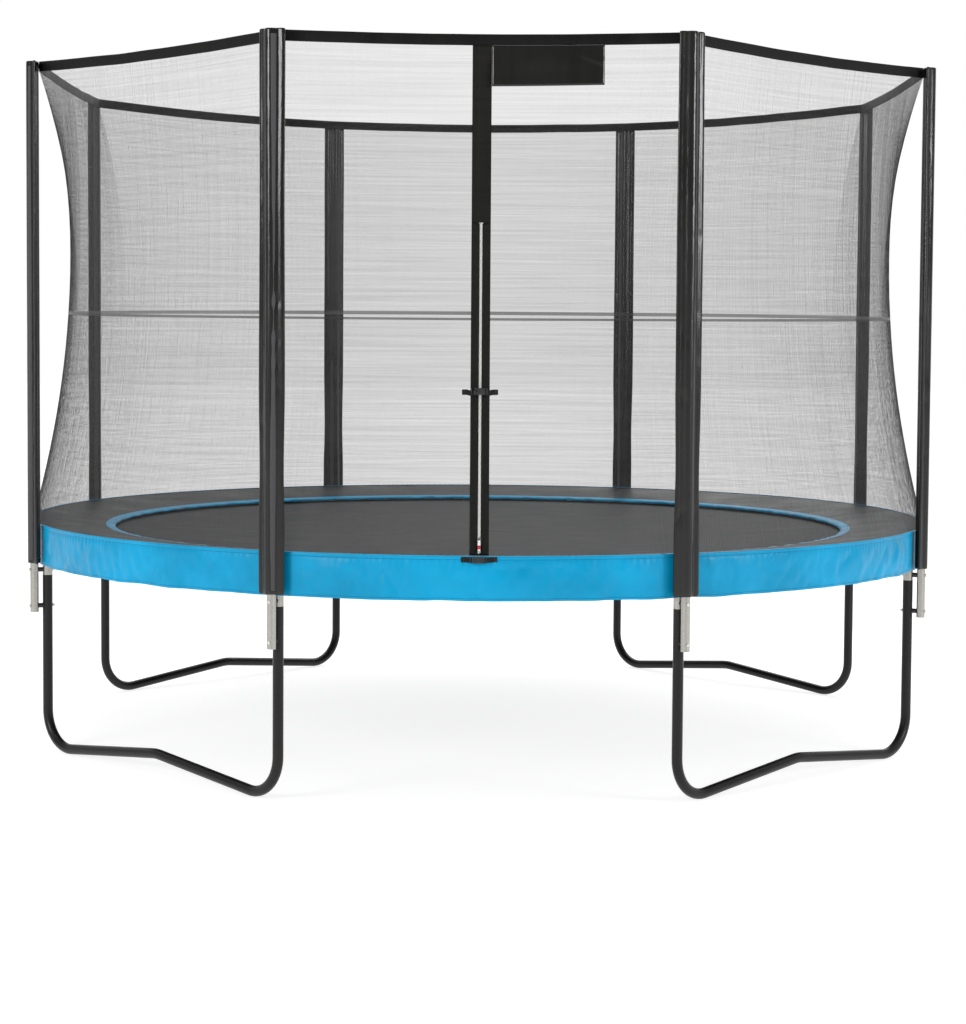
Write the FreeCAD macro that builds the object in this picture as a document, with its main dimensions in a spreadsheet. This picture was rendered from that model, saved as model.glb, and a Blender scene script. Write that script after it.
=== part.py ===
import FreeCAD, Part
import math
import os
import Sketcher
from FreeCAD import Placement, Rotation, Vector

# A round garden trampoline with a safety net. Millimetres, +Z up. The origin is on the ground under the
# centre of the mat, and the net's door faces -Y. Azimuths are counted from the door, towards +X.

doc = FreeCAD.newDocument("trampoline")

# ---------------------------------------------------------------- driving dimensions

drivingSizes = {
    # frame
    "frameDiameter": 3660,
    "frameTube": 38,
    "frameWall": 1.5,
    "ringHeight": 826,
    "railGap": 2,
    "sleeveFit": 0.3,
    "jointWall": 1.8,
    "jointLength": 130,
    "jointStub": 142,
    "jointScrewOffset": 42,
    # legs
    "legSplit": 270,
    "swageLength": 60,
    "legBend": 140,
    "legSlope": 6,
    "kinkBend": 220,
    # net poles and their clamps
    "poleTube": 32,
    "poleWall": 1.3,
    "poleTail": 24,
    "poleSplit": 1600,
    "poleHead": 2652,
    "capHeight": 4,
    "capPlug": 25,
    "clampSpacer": 16,
    "spacerDiameter": 18,
    "saddleDepth": 3,
    "clampHighLift": 21,
    "clampLowDrop": 119,
    "boltDiameter": 6,
    "boltHeadWidth": 10,
    "boltHeadHeight": 4,
    "nutHeight": 5,
    "boltEnd": 4,
    "boltFit": 0.2,
    "screwDiameter": 4,
    "screwHead": 8,
    "screwHeadHeight": 2.4,
    "screwLength": 8,
    # pole padding
    "foamWall": 6.6,
    "foamFit": 0.4,
    "foamFootLift": 15,
    "foamHeadDrop": 12,
    "sleeveWidth": 92,
    "sleeveWall": 1.4,
    "coverFit": 0.6,
    "coverFootLift": 25,
    "coverHeadLift": 8,
    # mat and springs
    "springCount": 72,
    "springCoil": 22,
    "springLength": 108,
    "springWire": 3.4,
    "hookReach": 24,
    "hookDrop": 7,
    "hookHole": 8,
    "matThickness": 2,
    "webbingWidth": 50,
    "webbingThickness": 3,
    "vRingWire": 4,
    "vRingWidth": 44,
    "vRingLength": 56.3,
    # pad
    "padOverlap": 65,
    "padOverhang": 1.5,
    "padThickness": 27.15,
    "padInnerThickness": 14,
    "padInnerRise": 6,
    "padRise": 3.5,
    "borderWidth": 38,
    "borderDrop": 3,
    "skirtWall": 2,
    "skirtFit": 1,
    "skirtDrop": 154,
    "skirtFlange": 22,
    # net
    "netThickness": 2,
    "netFit": 0.7,
    "netFootInset": 2,
    "netWaistInset": 140,
    "doorWaistInset": 148,
    "netWaistHeight": 1750,
    "seamHeight": 1700,
    "seamWidth": 12,
    "hemHeight": 38,
    "hemThickness": 3,
    "softFit": 0.3,
    # door
    "bandWidth": 66,
    "bandThickness": 2,
    "zipHead": 2010,
    "zipFootLift": 7,
    "zipWidth": 10,
    "zipThickness": 3,
    "slotFit": 0.4,
    "bandOverlap": 11,
    "sliderLength": 26,
    "sliderWall": 1.2,
    "sliderFit": 0.3,
    "sliderPlate": 1.6,
    "sliderRestLift": 46,
    "pullLength": 32,
    "pullWidth": 8,
    "pullThickness": 2,
    "pullNeck": 8,
    "pullPin": 3,
    "pullPinFit": 0.1,
    "barrelWall": 1.4,
    "barrelGap": 0.8,
    "earThickness": 1.8,
    "earHeight": 8,
    "earTip": 1,
    # side-release buckles
    "buckleHigh": 1430,
    "lowBuckleDrop": 10,
    "buckleHeight": 22,
    "buckleDepth": 10,
    "buckleStandOff": 14,
    "lowBuckleStandOff": 9,
    "socketLength": 35,
    "socketReach": 5,
    "socketFloor": 12,
    "socketWall": 2,
    "windowLength": 10,
    "tongueLength": 20,
    "tongueGap": 0.5,
    "guideLength": 18,
    "guideWidth": 3,
    "prongLength": 20,
    "prongWidth": 3,
    "prongInset": 2.6,
    "prongDepth": 4,
    "slotInset": 3,
    "slotLength": 5,
    "strapWidth": 19,
    "strapThickness": 1.6,
    "strapReach": 62,
    "strapFoot": 18,
    "strapRise": 4,
    # blank patch under the hem
    "patchWidth": 384,
    "patchHeight": 138,
    "patchThickness": 1.5,
}

sheet = doc.addObject("Spreadsheet::Sheet", "Sizes")
for row, (alias, value) in enumerate(drivingSizes.items(), start=1):
    sheet.set(f"A{row}", alias)
    sheet.set(f"B{row}", str(value))
    sheet.setAlias(f"B{row}", alias)
doc.recompute()

legCount = 8
sideAngle = 360 / legCount

# ---------------------------------------------------------------- sizes that follow from them

followingSizes = {
    # radii from the centre of the ring
    "ringRadius": "(Sizes.frameDiameter - Sizes.frameTube) / 2",
    "ringInside": "Sizes.frameDiameter / 2 - Sizes.frameTube",
    "poleRadius": "(Sizes.frameDiameter + Sizes.poleTube) / 2 + Sizes.clampSpacer",
    "poleOutside": "Fits.poleRadius + Sizes.poleTube / 2",
    "sleeveInside": "Fits.poleRadius - Fits.sleeveDepth / 2",
    "vRingPoint": "Fits.ringInside - Sizes.hookReach - Sizes.springLength - Sizes.springWire",
    "matRadius": "Fits.vRingPoint - Sizes.vRingLength - Sizes.softFit",
    "padInside": "Fits.matRadius - Sizes.padOverlap",
    "padOutside": "Sizes.frameDiameter / 2 + Sizes.padOverhang",
    "skirtInside": "Fits.padOutside + Sizes.skirtFit",
    "skirtOutside": "Fits.skirtInside + Sizes.skirtWall",
    "netFootRadius": "Sizes.frameDiameter / 2 - Sizes.netFootInset",
    "netWaistRadius": "Sizes.frameDiameter / 2 - Sizes.netWaistInset",
    "doorWaistRadius": "Sizes.frameDiameter / 2 - Sizes.doorWaistInset",
    # heights above the ground
    "jointFoot": "Sizes.ringHeight - Sizes.jointStub",
    "clampHigh": "Fits.jointFoot + Sizes.clampHighLift",
    "clampLow": "Fits.jointFoot - Sizes.clampLowDrop",
    "poleFoot": "Fits.clampLow - Sizes.poleTail",
    "sleeveFoot": "Fits.clampHigh + Sizes.coverFootLift",
    "sleeveHead": "Sizes.poleHead + Sizes.coverHeadLift",
    "foamFoot": "Fits.sleeveFoot + Sizes.foamFootLift",
    "foamHead": "Sizes.poleHead - Sizes.foamHeadDrop",
    "hemFoot": "Fits.sleeveHead - Sizes.hemHeight",
    "matHead": "Sizes.ringHeight - (Sizes.springWire + Sizes.vRingWire) / 2 - Sizes.softFit",
    "padCrest": "Sizes.ringHeight + Fits.jointDiameter / 2 + Sizes.padRise / 2",
    "padHead": "Fits.padCrest + Sizes.padThickness",
    "padInnerFoot": "Fits.matHead + Sizes.webbingThickness + Sizes.padInnerRise",
    "padInnerHead": "Fits.padInnerFoot + Sizes.padInnerThickness",
    "skirtFoot": "Fits.padHead - Sizes.skirtDrop",
    "netFoot": "Fits.padHead + Sizes.softFit + Sizes.skirtWall + Sizes.netFit",
    "zipFoot": "Fits.netFoot + Sizes.zipFootLift",
    "sliderRest": "Fits.netFoot + Sizes.sliderRestLift",
    "buckleLow": "Fits.padHead - Sizes.lowBuckleDrop",
    # sections
    "tubeRadius": "Sizes.frameTube / 2",
    "tubeBore": "Sizes.frameTube / 2 - Sizes.frameWall",
    "swageRadius": "Fits.tubeBore - Sizes.sleeveFit",
    "swageBore": "Fits.swageRadius - Sizes.frameWall",
    "jointBore": "Fits.tubeRadius + Sizes.sleeveFit",
    "jointDiameter": "2 * (Fits.jointBore + Sizes.jointWall)",
    "poleSwage": "Sizes.poleTube / 2 - Sizes.poleWall - Sizes.sleeveFit",
    "foamDiameter": "Sizes.poleTube + 2 * Sizes.foamFit + 2 * Sizes.foamWall",
    "sleeveDepth": "Fits.foamDiameter + 2 * Sizes.coverFit + 2 * Sizes.sleeveWall",
    "springPitch": "360 / Sizes.springCount",
    "zipSlot": "Sizes.zipWidth + 2 * (Sizes.sliderFit + Sizes.sliderWall + Sizes.slotFit)",
    "netSlot": "Sizes.bandWidth - 2 * Sizes.bandOverlap",
}

fits = doc.addObject("App::VarSet", "Fits")
for name in followingSizes:
    fits.addProperty("App::PropertyFloat", name)
for name, expression in followingSizes.items():
    fits.setExpression(name, expression)
doc.recompute()


def size(name):
    """A driving or following size as a number."""
    return getattr(fits, name) if name in followingSizes else float(sheet.get(name))


ringRadius = size("ringRadius")
poleRadius = size("poleRadius")

nodes = []


def keep(label, shapeObject):
    """Give a finished sub-part the name of its file."""
    shapeObject.Label = label
    nodes.append(shapeObject)
    return shapeObject


# ---------------------------------------------------------------- modelling helpers


def facing(azimuth, radius=0, height=0):
    """The place of a piece whose own +X points outwards at this azimuth."""
    turn = Rotation(Vector(0, 0, 1), azimuth - 90)
    return Placement(turn.multVec(Vector(radius, 0, 0)) + Vector(0, 0, height), turn)


def bind(shapeObject, **expressions):
    """Tie properties to the sheet; place_x, place_y and place_z stand for the object's place."""
    for key, expression in expressions.items():
        path = f".Placement.Base.{key[-1]}" if key.startswith("place_") else key
        shapeObject.setExpression(path, expression)
    return shapeObject


def cylinder(name, radius, length, turn=None, **place):
    piece = doc.addObject("Part::Cylinder", name)
    if turn is not None:
        piece.Placement = Placement(Vector(), turn)
    return bind(piece, Radius=radius, Height=length, **place)


def cut(name, base, *tools):
    piece = doc.addObject("Part::Cut", name)
    piece.Base = base
    piece.Tool = tools[0] if len(tools) == 1 else fuse(name + "Tools", *tools)
    return piece


def fuse(name, *pieces):
    piece = doc.addObject("Part::MultiFuse", name)
    piece.Shapes = list(pieces)
    return piece


def originPlane(body, role):
    return [feature for feature in body.Origin.OriginFeatures if feature.Role == role][0]


def newSketch(body, role, name, height=None):
    """A sketch on one of the body's own origin planes, or at a height above it."""
    sketch = body.newObject("Sketcher::SketchObject", name)
    sketch.AttachmentSupport = [(originPlane(body, role), "")]
    sketch.MapMode = "FlatFace"
    if height is not None:
        sketch.setExpression(".AttachmentOffset.Base.z", height)
    return sketch


def pin(sketch, kind, geometry, point, expression, start):
    """Hold one coordinate of a point at a distance from the sketch's origin."""
    index = sketch.addConstraint(Sketcher.Constraint(kind, -1, 1, geometry, point, start))
    sketch.setExpression(f"Constraints[{index}]", expression)


def addOutline(sketch, corners):
    """A closed outline of straight lines; a corner is a pair of expressions, and "0" lies on the axis."""
    first = sketch.GeometryCount
    count = len(corners)
    start = [
        Vector(100 + 50 * math.cos(2 * math.pi * i / count), 100 + 50 * math.sin(2 * math.pi * i / count), 0)
        for i in range(count)
    ]
    lines = [Part.LineSegment(start[i], start[(i + 1) % count]) for i in range(count)]
    sketch.addGeometry(lines, False)
    for i in range(count):
        following = first + (i + 1) % count
        sketch.addConstraint(Sketcher.Constraint("Coincident", first + i, 2, following, 1))
    for i, (across, up) in enumerate(corners):
        if across == "0":
            sketch.addConstraint(Sketcher.Constraint("PointOnObject", first + i, 1, -2))
        else:
            pin(sketch, "DistanceX", first + i, 1, across, start[i].x)
        if up == "0":
            sketch.addConstraint(Sketcher.Constraint("PointOnObject", first + i, 1, -1))
        else:
            pin(sketch, "DistanceY", first + i, 1, up, start[i].y)


def addCircle(sketch, across, up, radius):
    """A circle whose centre and radius are expressions; "0" puts the centre on an axis."""
    index = sketch.addGeometry(Part.Circle(Vector(10, 10, 0), Vector(0, 0, 1), 5), False)
    if across == "0":
        sketch.addConstraint(Sketcher.Constraint("PointOnObject", index, 3, -2))
    else:
        pin(sketch, "DistanceX", index, 3, across, 10)
    if up == "0":
        sketch.addConstraint(Sketcher.Constraint("PointOnObject", index, 3, -1))
    else:
        pin(sketch, "DistanceY", index, 3, up, 10)
    radiusIndex = sketch.addConstraint(Sketcher.Constraint("Radius", index, 5))
    sketch.setExpression(f"Constraints[{radiusIndex}]", radius)


def turned(name, corners):
    """A body of revolution about Z from the corners (radius, height) of its section."""
    body = doc.addObject("PartDesign::Body", name)
    section = newSketch(body, "XZ_Plane", name + "Section")
    addOutline(section, corners)
    turn = body.newObject("PartDesign::Revolution", name + "Turn")
    turn.Profile = section
    turn.ReferenceAxis = (section, ["V_Axis"])
    turn.Angle = 360
    return body


def pocket(body, sketch, name, length, reverse=False):
    hole = body.newObject("PartDesign::Pocket", name)
    hole.Profile = sketch
    hole.setExpression("Length", length)
    hole.Reversed = reverse
    return hole


def copies(label, master, places):
    """One node with a separate solid at each place."""
    group = doc.addObject("Part::Feature", label)
    solids = []
    for place in places:
        solid = master.Shape.copy()
        solid.Placement = place.multiply(solid.Placement)
        solids.append(solid)
    group.Shape = Part.makeCompound(solids)
    return keep(label, group)


alongX = Rotation(Vector(0, 1, 0), 90)
poleAzimuths = [sideAngle * (i + 0.5) for i in range(legCount)]
poleAzimuths = poleAzimuths[-1:] + poleAzimuths[:-1]  # the first pole is the one left of the door
springAzimuths = [size("springPitch") * i for i in range(int(size("springCount")))]
springsPerRail = int(size("springCount") / legCount)

# ---------------------------------------------------------------- ring of eight curved rails


def makeRail(number, azimuth):
    """A curved tube from one leg to the next, with a hole for each spring's hook."""
    name = f"top_rail_{number}"
    body = doc.addObject("PartDesign::Body", name + "Body")
    section = newSketch(body, "XZ_Plane", name + "Section")
    addCircle(section, "Fits.ringRadius", "Sizes.ringHeight", "Fits.tubeRadius")
    addCircle(section, "Fits.ringRadius", "Sizes.ringHeight", "Fits.tubeBore")
    tube = body.newObject("PartDesign::Revolution", name + "Tube")
    tube.Profile = section
    tube.ReferenceAxis = (section, ["V_Axis"])
    tube.Type = "TwoAngles"
    halfGap = "Sizes.railGap / 2 / Fits.ringRadius * 180 / pi"
    tube.setExpression("Angle", f"{sideAngle} - Fits.springPitch / 2 - {halfGap}")
    tube.setExpression("Angle2", f"Fits.springPitch / 2 - {halfGap}")

    hookSketch = newSketch(body, "YZ_Plane", name + "HookSketch")
    addCircle(hookSketch, "0", "Sizes.ringHeight", "Sizes.hookHole / 2")
    hookHole = pocket(body, hookSketch, name + "HookHole", "Fits.ringRadius", reverse=True)
    hookHoles = body.newObject("PartDesign::PolarPattern", name + "HookHoles")
    hookHoles.Originals = [hookHole]
    hookHoles.Axis = (section, ["V_Axis"])
    hookHoles.Angle = size("springPitch") * (springsPerRail - 1)
    hookHoles.Occurrences = springsPerRail
    body.Tip = hookHoles

    drills = []
    for end, offset in (("Start", -size("springPitch") / 2), ("End", sideAngle - size("springPitch") / 2)):
        inward = math.degrees(size("jointScrewOffset") / ringRadius) * (1 if end == "Start" else -1)
        drill = doc.addObject("Part::Cylinder", f"{name}Screw{end}")
        radius = "Sizes.screwDiameter / 2 + Sizes.boltFit"
        bind(drill, Radius=radius, Height="Sizes.frameTube / 2")
        angle = math.radians(offset + inward)
        bind(
            drill,
            place_x=f"Fits.ringRadius * cos({angle} * 1 rad)",
            place_y=f"Fits.ringRadius * sin({angle} * 1 rad)",
            place_z="Sizes.ringHeight - Sizes.frameTube / 2 - Sizes.frameWall",
        )
        drills.append(drill)
    rail = cut(name + "Drilled", body, *drills)
    rail.Placement = facing(azimuth + size("springPitch") / 2)
    return keep(name, rail)


for number, azimuth in enumerate(poleAzimuths, start=1):
    makeRail(number, azimuth)

# ---------------------------------------------------------------- T-joints that carry ring, legs and poles


def boltHole(name, height):
    """A drill along X through a leg and its pole at a height."""
    radius = "Sizes.boltDiameter / 2 + Sizes.boltFit"
    return cylinder(name, radius, "Fits.poleOutside", turn=alongX, place_z=height)


jointAngle = "Sizes.jointLength / Fits.ringRadius * 180 / pi"
jointSleeve = doc.addObject("Part::Torus", "JointSleeve")
jointBore = doc.addObject("Part::Torus", "JointBore")
for ring, radius, margin in ((jointSleeve, "Fits.jointDiameter / 2", 0), (jointBore, "Fits.jointBore", 1)):
    bind(ring, Radius1="Fits.ringRadius", Radius2=radius, Angle3=f"{jointAngle} + {margin}")
    half = math.degrees(size("jointLength") / ringRadius) / 2 + margin / 2
    ring.Placement = Placement(Vector(), Rotation(Vector(0, 0, 1), -half))
    bind(ring, place_z="Sizes.ringHeight")
jointStub = cylinder(
    "JointStub",
    "Fits.tubeRadius",
    "Sizes.ringHeight - Fits.jointFoot",
    place_x="Fits.ringRadius",
    place_z="Fits.jointFoot",
)
stubBore = cylinder(
    "StubBore",
    "Fits.tubeBore",
    "Sizes.ringHeight - Fits.jointFoot",
    place_x="Fits.ringRadius",
    place_z="Fits.jointFoot",
)
screwDrills = []
screwAngles = [sign * math.degrees(size("jointScrewOffset") / ringRadius) for sign in (-1, 1)]
for index, angle in enumerate(screwAngles):
    drill = cylinder(
        f"JointScrewDrill{index}",
        "Sizes.screwDiameter / 2 + Sizes.boltFit",
        "Fits.jointDiameter / 2",
        place_x=f"Fits.ringRadius * cos({angle} * 1 deg)",
        place_y=f"Fits.ringRadius * sin({angle} * 1 deg)",
        place_z="Sizes.ringHeight - Fits.jointDiameter / 2 - 1",
    )
    screwDrills.append(drill)
jointMaster = cut(
    "JointMaster",
    fuse("JointSolid", jointSleeve, jointStub),
    jointBore,
    stubBore,
    boltHole("JointBoltHole", "Fits.clampHigh"),
    *screwDrills,
)

# ---------------------------------------------------------------- legs: eight extensions and four bent bases


def makeLegExtension(number, azimuth):
    """A straight tube with a narrowed top, which the T-joint's stub takes."""
    name = f"leg_extension_{number}"
    spot = {"place_x": "Fits.ringRadius"}
    tube = cylinder(name + "Tube", "Fits.tubeRadius", "Fits.jointFoot - Sizes.legSplit",
                    place_z="Sizes.legSplit", **spot)
    swageFoot = "Fits.jointFoot - 1"
    swage = cylinder(name + "Swage", "Fits.swageRadius", "Sizes.swageLength + 1", place_z=swageFoot, **spot)
    bore = cylinder(name + "Bore", "Fits.tubeBore", "Fits.jointFoot - Sizes.legSplit - Sizes.frameWall",
                    place_z="Sizes.legSplit", **spot)
    neck = cylinder(name + "Neck", "Fits.swageBore", "Sizes.swageLength + 10",
                    place_z="Fits.jointFoot - 5", **spot)
    leg = cut(
        name + "Drilled",
        fuse(name + "Solid", tube, swage),
        bore,
        neck,
        boltHole(name + "LowHole", "Fits.clampLow"),
        boltHole(name + "HighHole", "Fits.clampHigh"),
    )
    leg.Placement = facing(azimuth)
    return keep(name, leg)


def makeLegBase(number, azimuth):
    """One bent tube under two legs: down, along the ground, up a little in the middle, and down again."""
    name = f"leg_base_{number}"
    body = doc.addObject("PartDesign::Body", name + "Body")
    path = newSketch(body, "XZ_Plane", name + "Path")
    span = 2 * ringRadius * math.sin(math.radians(sideAngle / 2))
    slope = math.radians(size("legSlope"))
    bend = size("legBend")
    kink = size("kinkBend")
    bendHeight = size("tubeRadius") + bend
    top = Vector(0, size("legSplit"), 0)
    bendStart = Vector(0, bendHeight, 0)
    halfTurn = (math.pi / 2 + slope) / 2
    bendMiddle = Vector(bend * (1 - math.cos(halfTurn)), bendHeight - bend * math.sin(halfTurn), 0)
    bendEnd = Vector(bend * (1 + math.sin(slope)), bendHeight - bend * math.cos(slope), 0)
    crest = Vector(span / 2, bendEnd.y + (span / 2 - bendEnd.x) * math.tan(slope), 0)
    tangent = kink * math.tan(slope)
    kinkStart = crest - Vector(math.cos(slope), math.sin(slope), 0) * tangent
    kinkMiddle = crest - Vector(0, kink / math.cos(slope) - kink, 0)

    def mirrored(point):
        return Vector(span - point.x, point.y, 0)

    path.addGeometry(
        [
            Part.LineSegment(top, bendStart),
            Part.Arc(bendStart, bendMiddle, bendEnd),
            Part.LineSegment(bendEnd, kinkStart),
            Part.Arc(kinkStart, kinkMiddle, mirrored(kinkStart)),
            Part.LineSegment(mirrored(kinkStart), mirrored(bendEnd)),
            Part.Arc(mirrored(bendEnd), mirrored(bendMiddle), mirrored(bendStart)),
            Part.LineSegment(mirrored(bendStart), mirrored(top)),
        ],
        False,
    )
    joins = ((0, 2, 1, 1), (1, 2, 2, 1), (2, 2, 3, 2), (3, 1, 4, 1), (4, 2, 5, 1), (5, 2, 6, 1))
    path.addConstraint([Sketcher.Constraint("Tangent", *join) for join in joins])
    path.addConstraint(Sketcher.Constraint("PointOnObject", 0, 1, -2))
    path.addConstraint([Sketcher.Constraint("Vertical", 0), Sketcher.Constraint("Vertical", 6)])
    pin(path, "DistanceY", 0, 1, "Sizes.legSplit", top.y)
    pin(path, "DistanceY", 6, 2, "Sizes.legSplit", top.y)
    pin(path, "DistanceY", 1, 1, "Fits.tubeRadius + Sizes.legBend", bendHeight)
    spanExpression = f"2 * Fits.ringRadius * sin({sideAngle / 2} * 1 deg)"
    pin(path, "DistanceX", 6, 2, spanExpression, span)
    for arc, radius in ((1, "Sizes.legBend"), (5, "Sizes.legBend"), (3, "Sizes.kinkBend")):
        index = path.addConstraint(Sketcher.Constraint("Radius", arc, bend if arc != 3 else kink))
        path.setExpression(f"Constraints[{index}]", radius)
    index = path.addConstraint(Sketcher.Constraint("Angle", 2, slope))
    path.setExpression(f"Constraints[{index}]", "Sizes.legSlope * 1 deg")

    section = newSketch(body, "XY_Plane", name + "Section", height="Sizes.legSplit")
    addCircle(section, "0", "0", "Fits.tubeRadius")
    addCircle(section, "0", "0", "Fits.tubeBore")
    doc.recompute()
    pipe = body.newObject("PartDesign::AdditivePipe", name + "Pipe")
    pipe.Profile = (section, [""])
    pipe.Spine = (path, [f"Edge{i + 1}" for i in range(len(path.Geometry))])

    swages = []
    for end, across in (("Left", "0"), ("Right", spanExpression)):
        outer = cylinder(f"{name}Swage{end}", "Fits.swageRadius", "Sizes.swageLength + 5",
                         place_x=across, place_z="Sizes.legSplit - 5")
        inner = cylinder(f"{name}SwageBore{end}", "Fits.swageBore", "Sizes.swageLength + 10",
                         place_x=across, place_z="Sizes.legSplit - 6")
        swages.append(cut(f"{name}SwageTube{end}", outer, inner))
    shoulders = []
    for end, across in (("Left", "0"), ("Right", spanExpression)):
        outer = cylinder(f"{name}Shoulder{end}", "Fits.tubeBore + 0.1", "Sizes.frameWall",
                         place_x=across, place_z="Sizes.legSplit - Sizes.frameWall")
        inner = cylinder(f"{name}ShoulderBore{end}", "Fits.swageBore", "Sizes.frameWall",
                         place_x=across, place_z="Sizes.legSplit - Sizes.frameWall")
        shoulders.append(cut(f"{name}ShoulderRing{end}", outer, inner))
    leg = fuse(name + "Solid", body, *swages, *shoulders)
    start = facing(azimuth, ringRadius).Base
    along = Rotation(Vector(0, 0, 1), azimuth + sideAngle / 2)
    leg.Placement = Placement(start, along)
    return keep(name, leg)


for number, azimuth in enumerate(poleAzimuths, start=1):
    makeLegExtension(number, azimuth)
for number, azimuth in enumerate(poleAzimuths[1::2], start=1):
    makeLegBase(number, azimuth)

# ---------------------------------------------------------------- net poles in two lengths

poleSpot = {"place_x": "Fits.poleRadius"}
lowerPoleMaster = cut(
    "LowerPoleMaster",
    cylinder("LowerPoleTube", "Sizes.poleTube / 2", "Sizes.poleSplit - Fits.poleFoot",
             place_z="Fits.poleFoot", **poleSpot),
    cylinder("LowerPoleBore", "Sizes.poleTube / 2 - Sizes.poleWall", "Sizes.poleSplit - Fits.poleFoot + 2",
             place_z="Fits.poleFoot - 1", **poleSpot),
    boltHole("LowerPoleLowHole", "Fits.clampLow"),
    boltHole("LowerPoleHighHole", "Fits.clampHigh"),
)
upperPoleMaster = cut(
    "UpperPoleMaster",
    fuse(
        "UpperPoleSolid",
        cylinder("UpperPoleTube", "Sizes.poleTube / 2", "Sizes.poleHead - Sizes.poleSplit",
                 place_z="Sizes.poleSplit", **poleSpot),
        cylinder("UpperPoleSwage", "Fits.poleSwage", "Sizes.swageLength + 1",
                 place_z="Sizes.poleSplit - Sizes.swageLength", **poleSpot),
    ),
    cylinder("UpperPoleBore", "Fits.poleSwage - Sizes.poleWall",
             "Sizes.poleHead - Sizes.poleSplit + Sizes.swageLength + 2",
             place_z="Sizes.poleSplit - Sizes.swageLength - 1", **poleSpot),
)
plugRadius = "Fits.poleSwage - Sizes.poleWall - Sizes.sleeveFit"
poleCapMaster = fuse(
    "PoleCapMaster",
    cylinder("PoleCapHead", "Sizes.poleTube / 2", "Sizes.capHeight", place_z="Sizes.poleHead", **poleSpot),
    cylinder("PoleCapPlug", plugRadius, "Sizes.capPlug", place_z="Sizes.poleHead - Sizes.capPlug", **poleSpot),
)

# ---------------------------------------------------------------- clamps that hold a pole to its leg

legHole = cylinder("SpacerLegHole", "Fits.tubeRadius + Sizes.softFit / 3", "Sizes.poleHead",
                   place_x="Fits.ringRadius")
poleHole = cylinder("SpacerPoleHole", "Sizes.poleTube / 2 + Sizes.softFit / 3", "Sizes.poleHead", **poleSpot)
spacerMaster = cut(
    "SpacerMaster",
    cylinder("SpacerRod", "Sizes.spacerDiameter / 2", "Sizes.clampSpacer + 2 * Sizes.saddleDepth",
             turn=alongX, place_x="Sizes.frameDiameter / 2 - Sizes.saddleDepth", place_z="Fits.clampLow"),
    legHole,
    poleHole,
    boltHole("SpacerBoltHole", "Fits.clampLow"),
)


def hexagon(name, height, across, **place):
    head = doc.addObject("Part::Prism", name)
    head.Polygon = 6
    head.Placement = Placement(Vector(), alongX)
    return bind(head, Circumradius=f"{across} / 2 / cos(30 deg)", Height=height, **place)


boltMaster = fuse(
    "BoltMaster",
    cylinder("BoltShank", "Sizes.boltDiameter / 2",
             "Fits.poleOutside - Fits.ringInside + Sizes.nutHeight + Sizes.boltEnd",
             turn=alongX, place_x="Fits.ringInside - Sizes.nutHeight - Sizes.boltEnd", place_z="Fits.clampLow"),
    hexagon("BoltHead", "Sizes.boltHeadHeight", "Sizes.boltHeadWidth",
            place_x="Fits.poleOutside", place_z="Fits.clampLow"),
)
nutMaster = cut(
    "NutMaster",
    hexagon("NutHexagon", "Sizes.nutHeight", "Sizes.boltHeadWidth",
            place_x="Fits.ringInside - Sizes.nutHeight", place_z="Fits.clampLow"),
    cylinder("NutHole", "Sizes.boltDiameter / 2 + Sizes.softFit / 3", "Sizes.nutHeight + 2", turn=alongX,
             place_x="Fits.ringInside - Sizes.nutHeight - 1", place_z="Fits.clampLow"),
)
jointFloor = "Sizes.ringHeight - Fits.jointDiameter / 2"
screwMaster = fuse(
    "ScrewMaster",
    cylinder("ScrewShank", "Sizes.screwDiameter / 2", "Sizes.screwLength", place_x="Fits.ringRadius",
             place_z=jointFloor),
    cylinder("ScrewHead", "Sizes.screwHead / 2", "Sizes.screwHeadHeight", place_x="Fits.ringRadius",
             place_z=f"{jointFloor} - Sizes.screwHeadHeight"),
)

# ---------------------------------------------------------------- foam and cover on each net pole

foamMaster = turned(
    "FoamMaster",
    [
        ("Sizes.poleTube / 2 + Sizes.foamFit", "Fits.foamFoot"),
        ("Fits.foamDiameter / 2", "Fits.foamFoot"),
        ("Fits.foamDiameter / 2", "Fits.foamHead"),
        ("Sizes.poleTube / 2 + Sizes.foamFit", "Fits.foamHead"),
    ],
)
foamMaster.setExpression(".Placement.Base.x", "Fits.poleRadius")


def ovalColumn(name, width, depth, height, foot):
    """An upright column of oval section, its long axis across X."""
    oval = doc.addObject("Part::Ellipse", name + "Oval")
    bind(oval, MajorRadius=f"{width} / 2", MinorRadius=f"{depth} / 2")
    oval.Placement = Placement(Vector(), Rotation(Vector(0, 0, 1), 90))
    column = doc.addObject("Part::Extrusion", name)
    column.Base = oval
    column.DirMode = "Custom"
    column.Dir = Vector(0, 0, 1)
    column.Solid = True
    return bind(column, LengthFwd=height, place_z=foot)


def makeSleeve(number, azimuth):
    """A sewn cover round a pole's foam, closed at the top and open at the foot."""
    name = f"pole_sleeve_{number}"
    outside = ovalColumn(name + "Outside", "Sizes.sleeveWidth", "Fits.sleeveDepth",
                         "Fits.sleeveHead - Fits.sleeveFoot", "Fits.sleeveFoot")
    inside = ovalColumn(name + "Inside", "(Sizes.sleeveWidth - 2 * Sizes.sleeveWall)",
                        "(Fits.sleeveDepth - 2 * Sizes.sleeveWall)",
                        "Fits.sleeveHead - Fits.sleeveFoot - Sizes.sleeveWall + 1",
                        "Fits.sleeveFoot - 1")
    sleeve = cut(name + "Cover", outside, inside)
    sleeve.Placement = facing(azimuth, poleRadius)
    return keep(name, sleeve)


for number, azimuth in enumerate(poleAzimuths, start=1):
    makeSleeve(number, azimuth)

# ---------------------------------------------------------------- mat, its edge, springs

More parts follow.
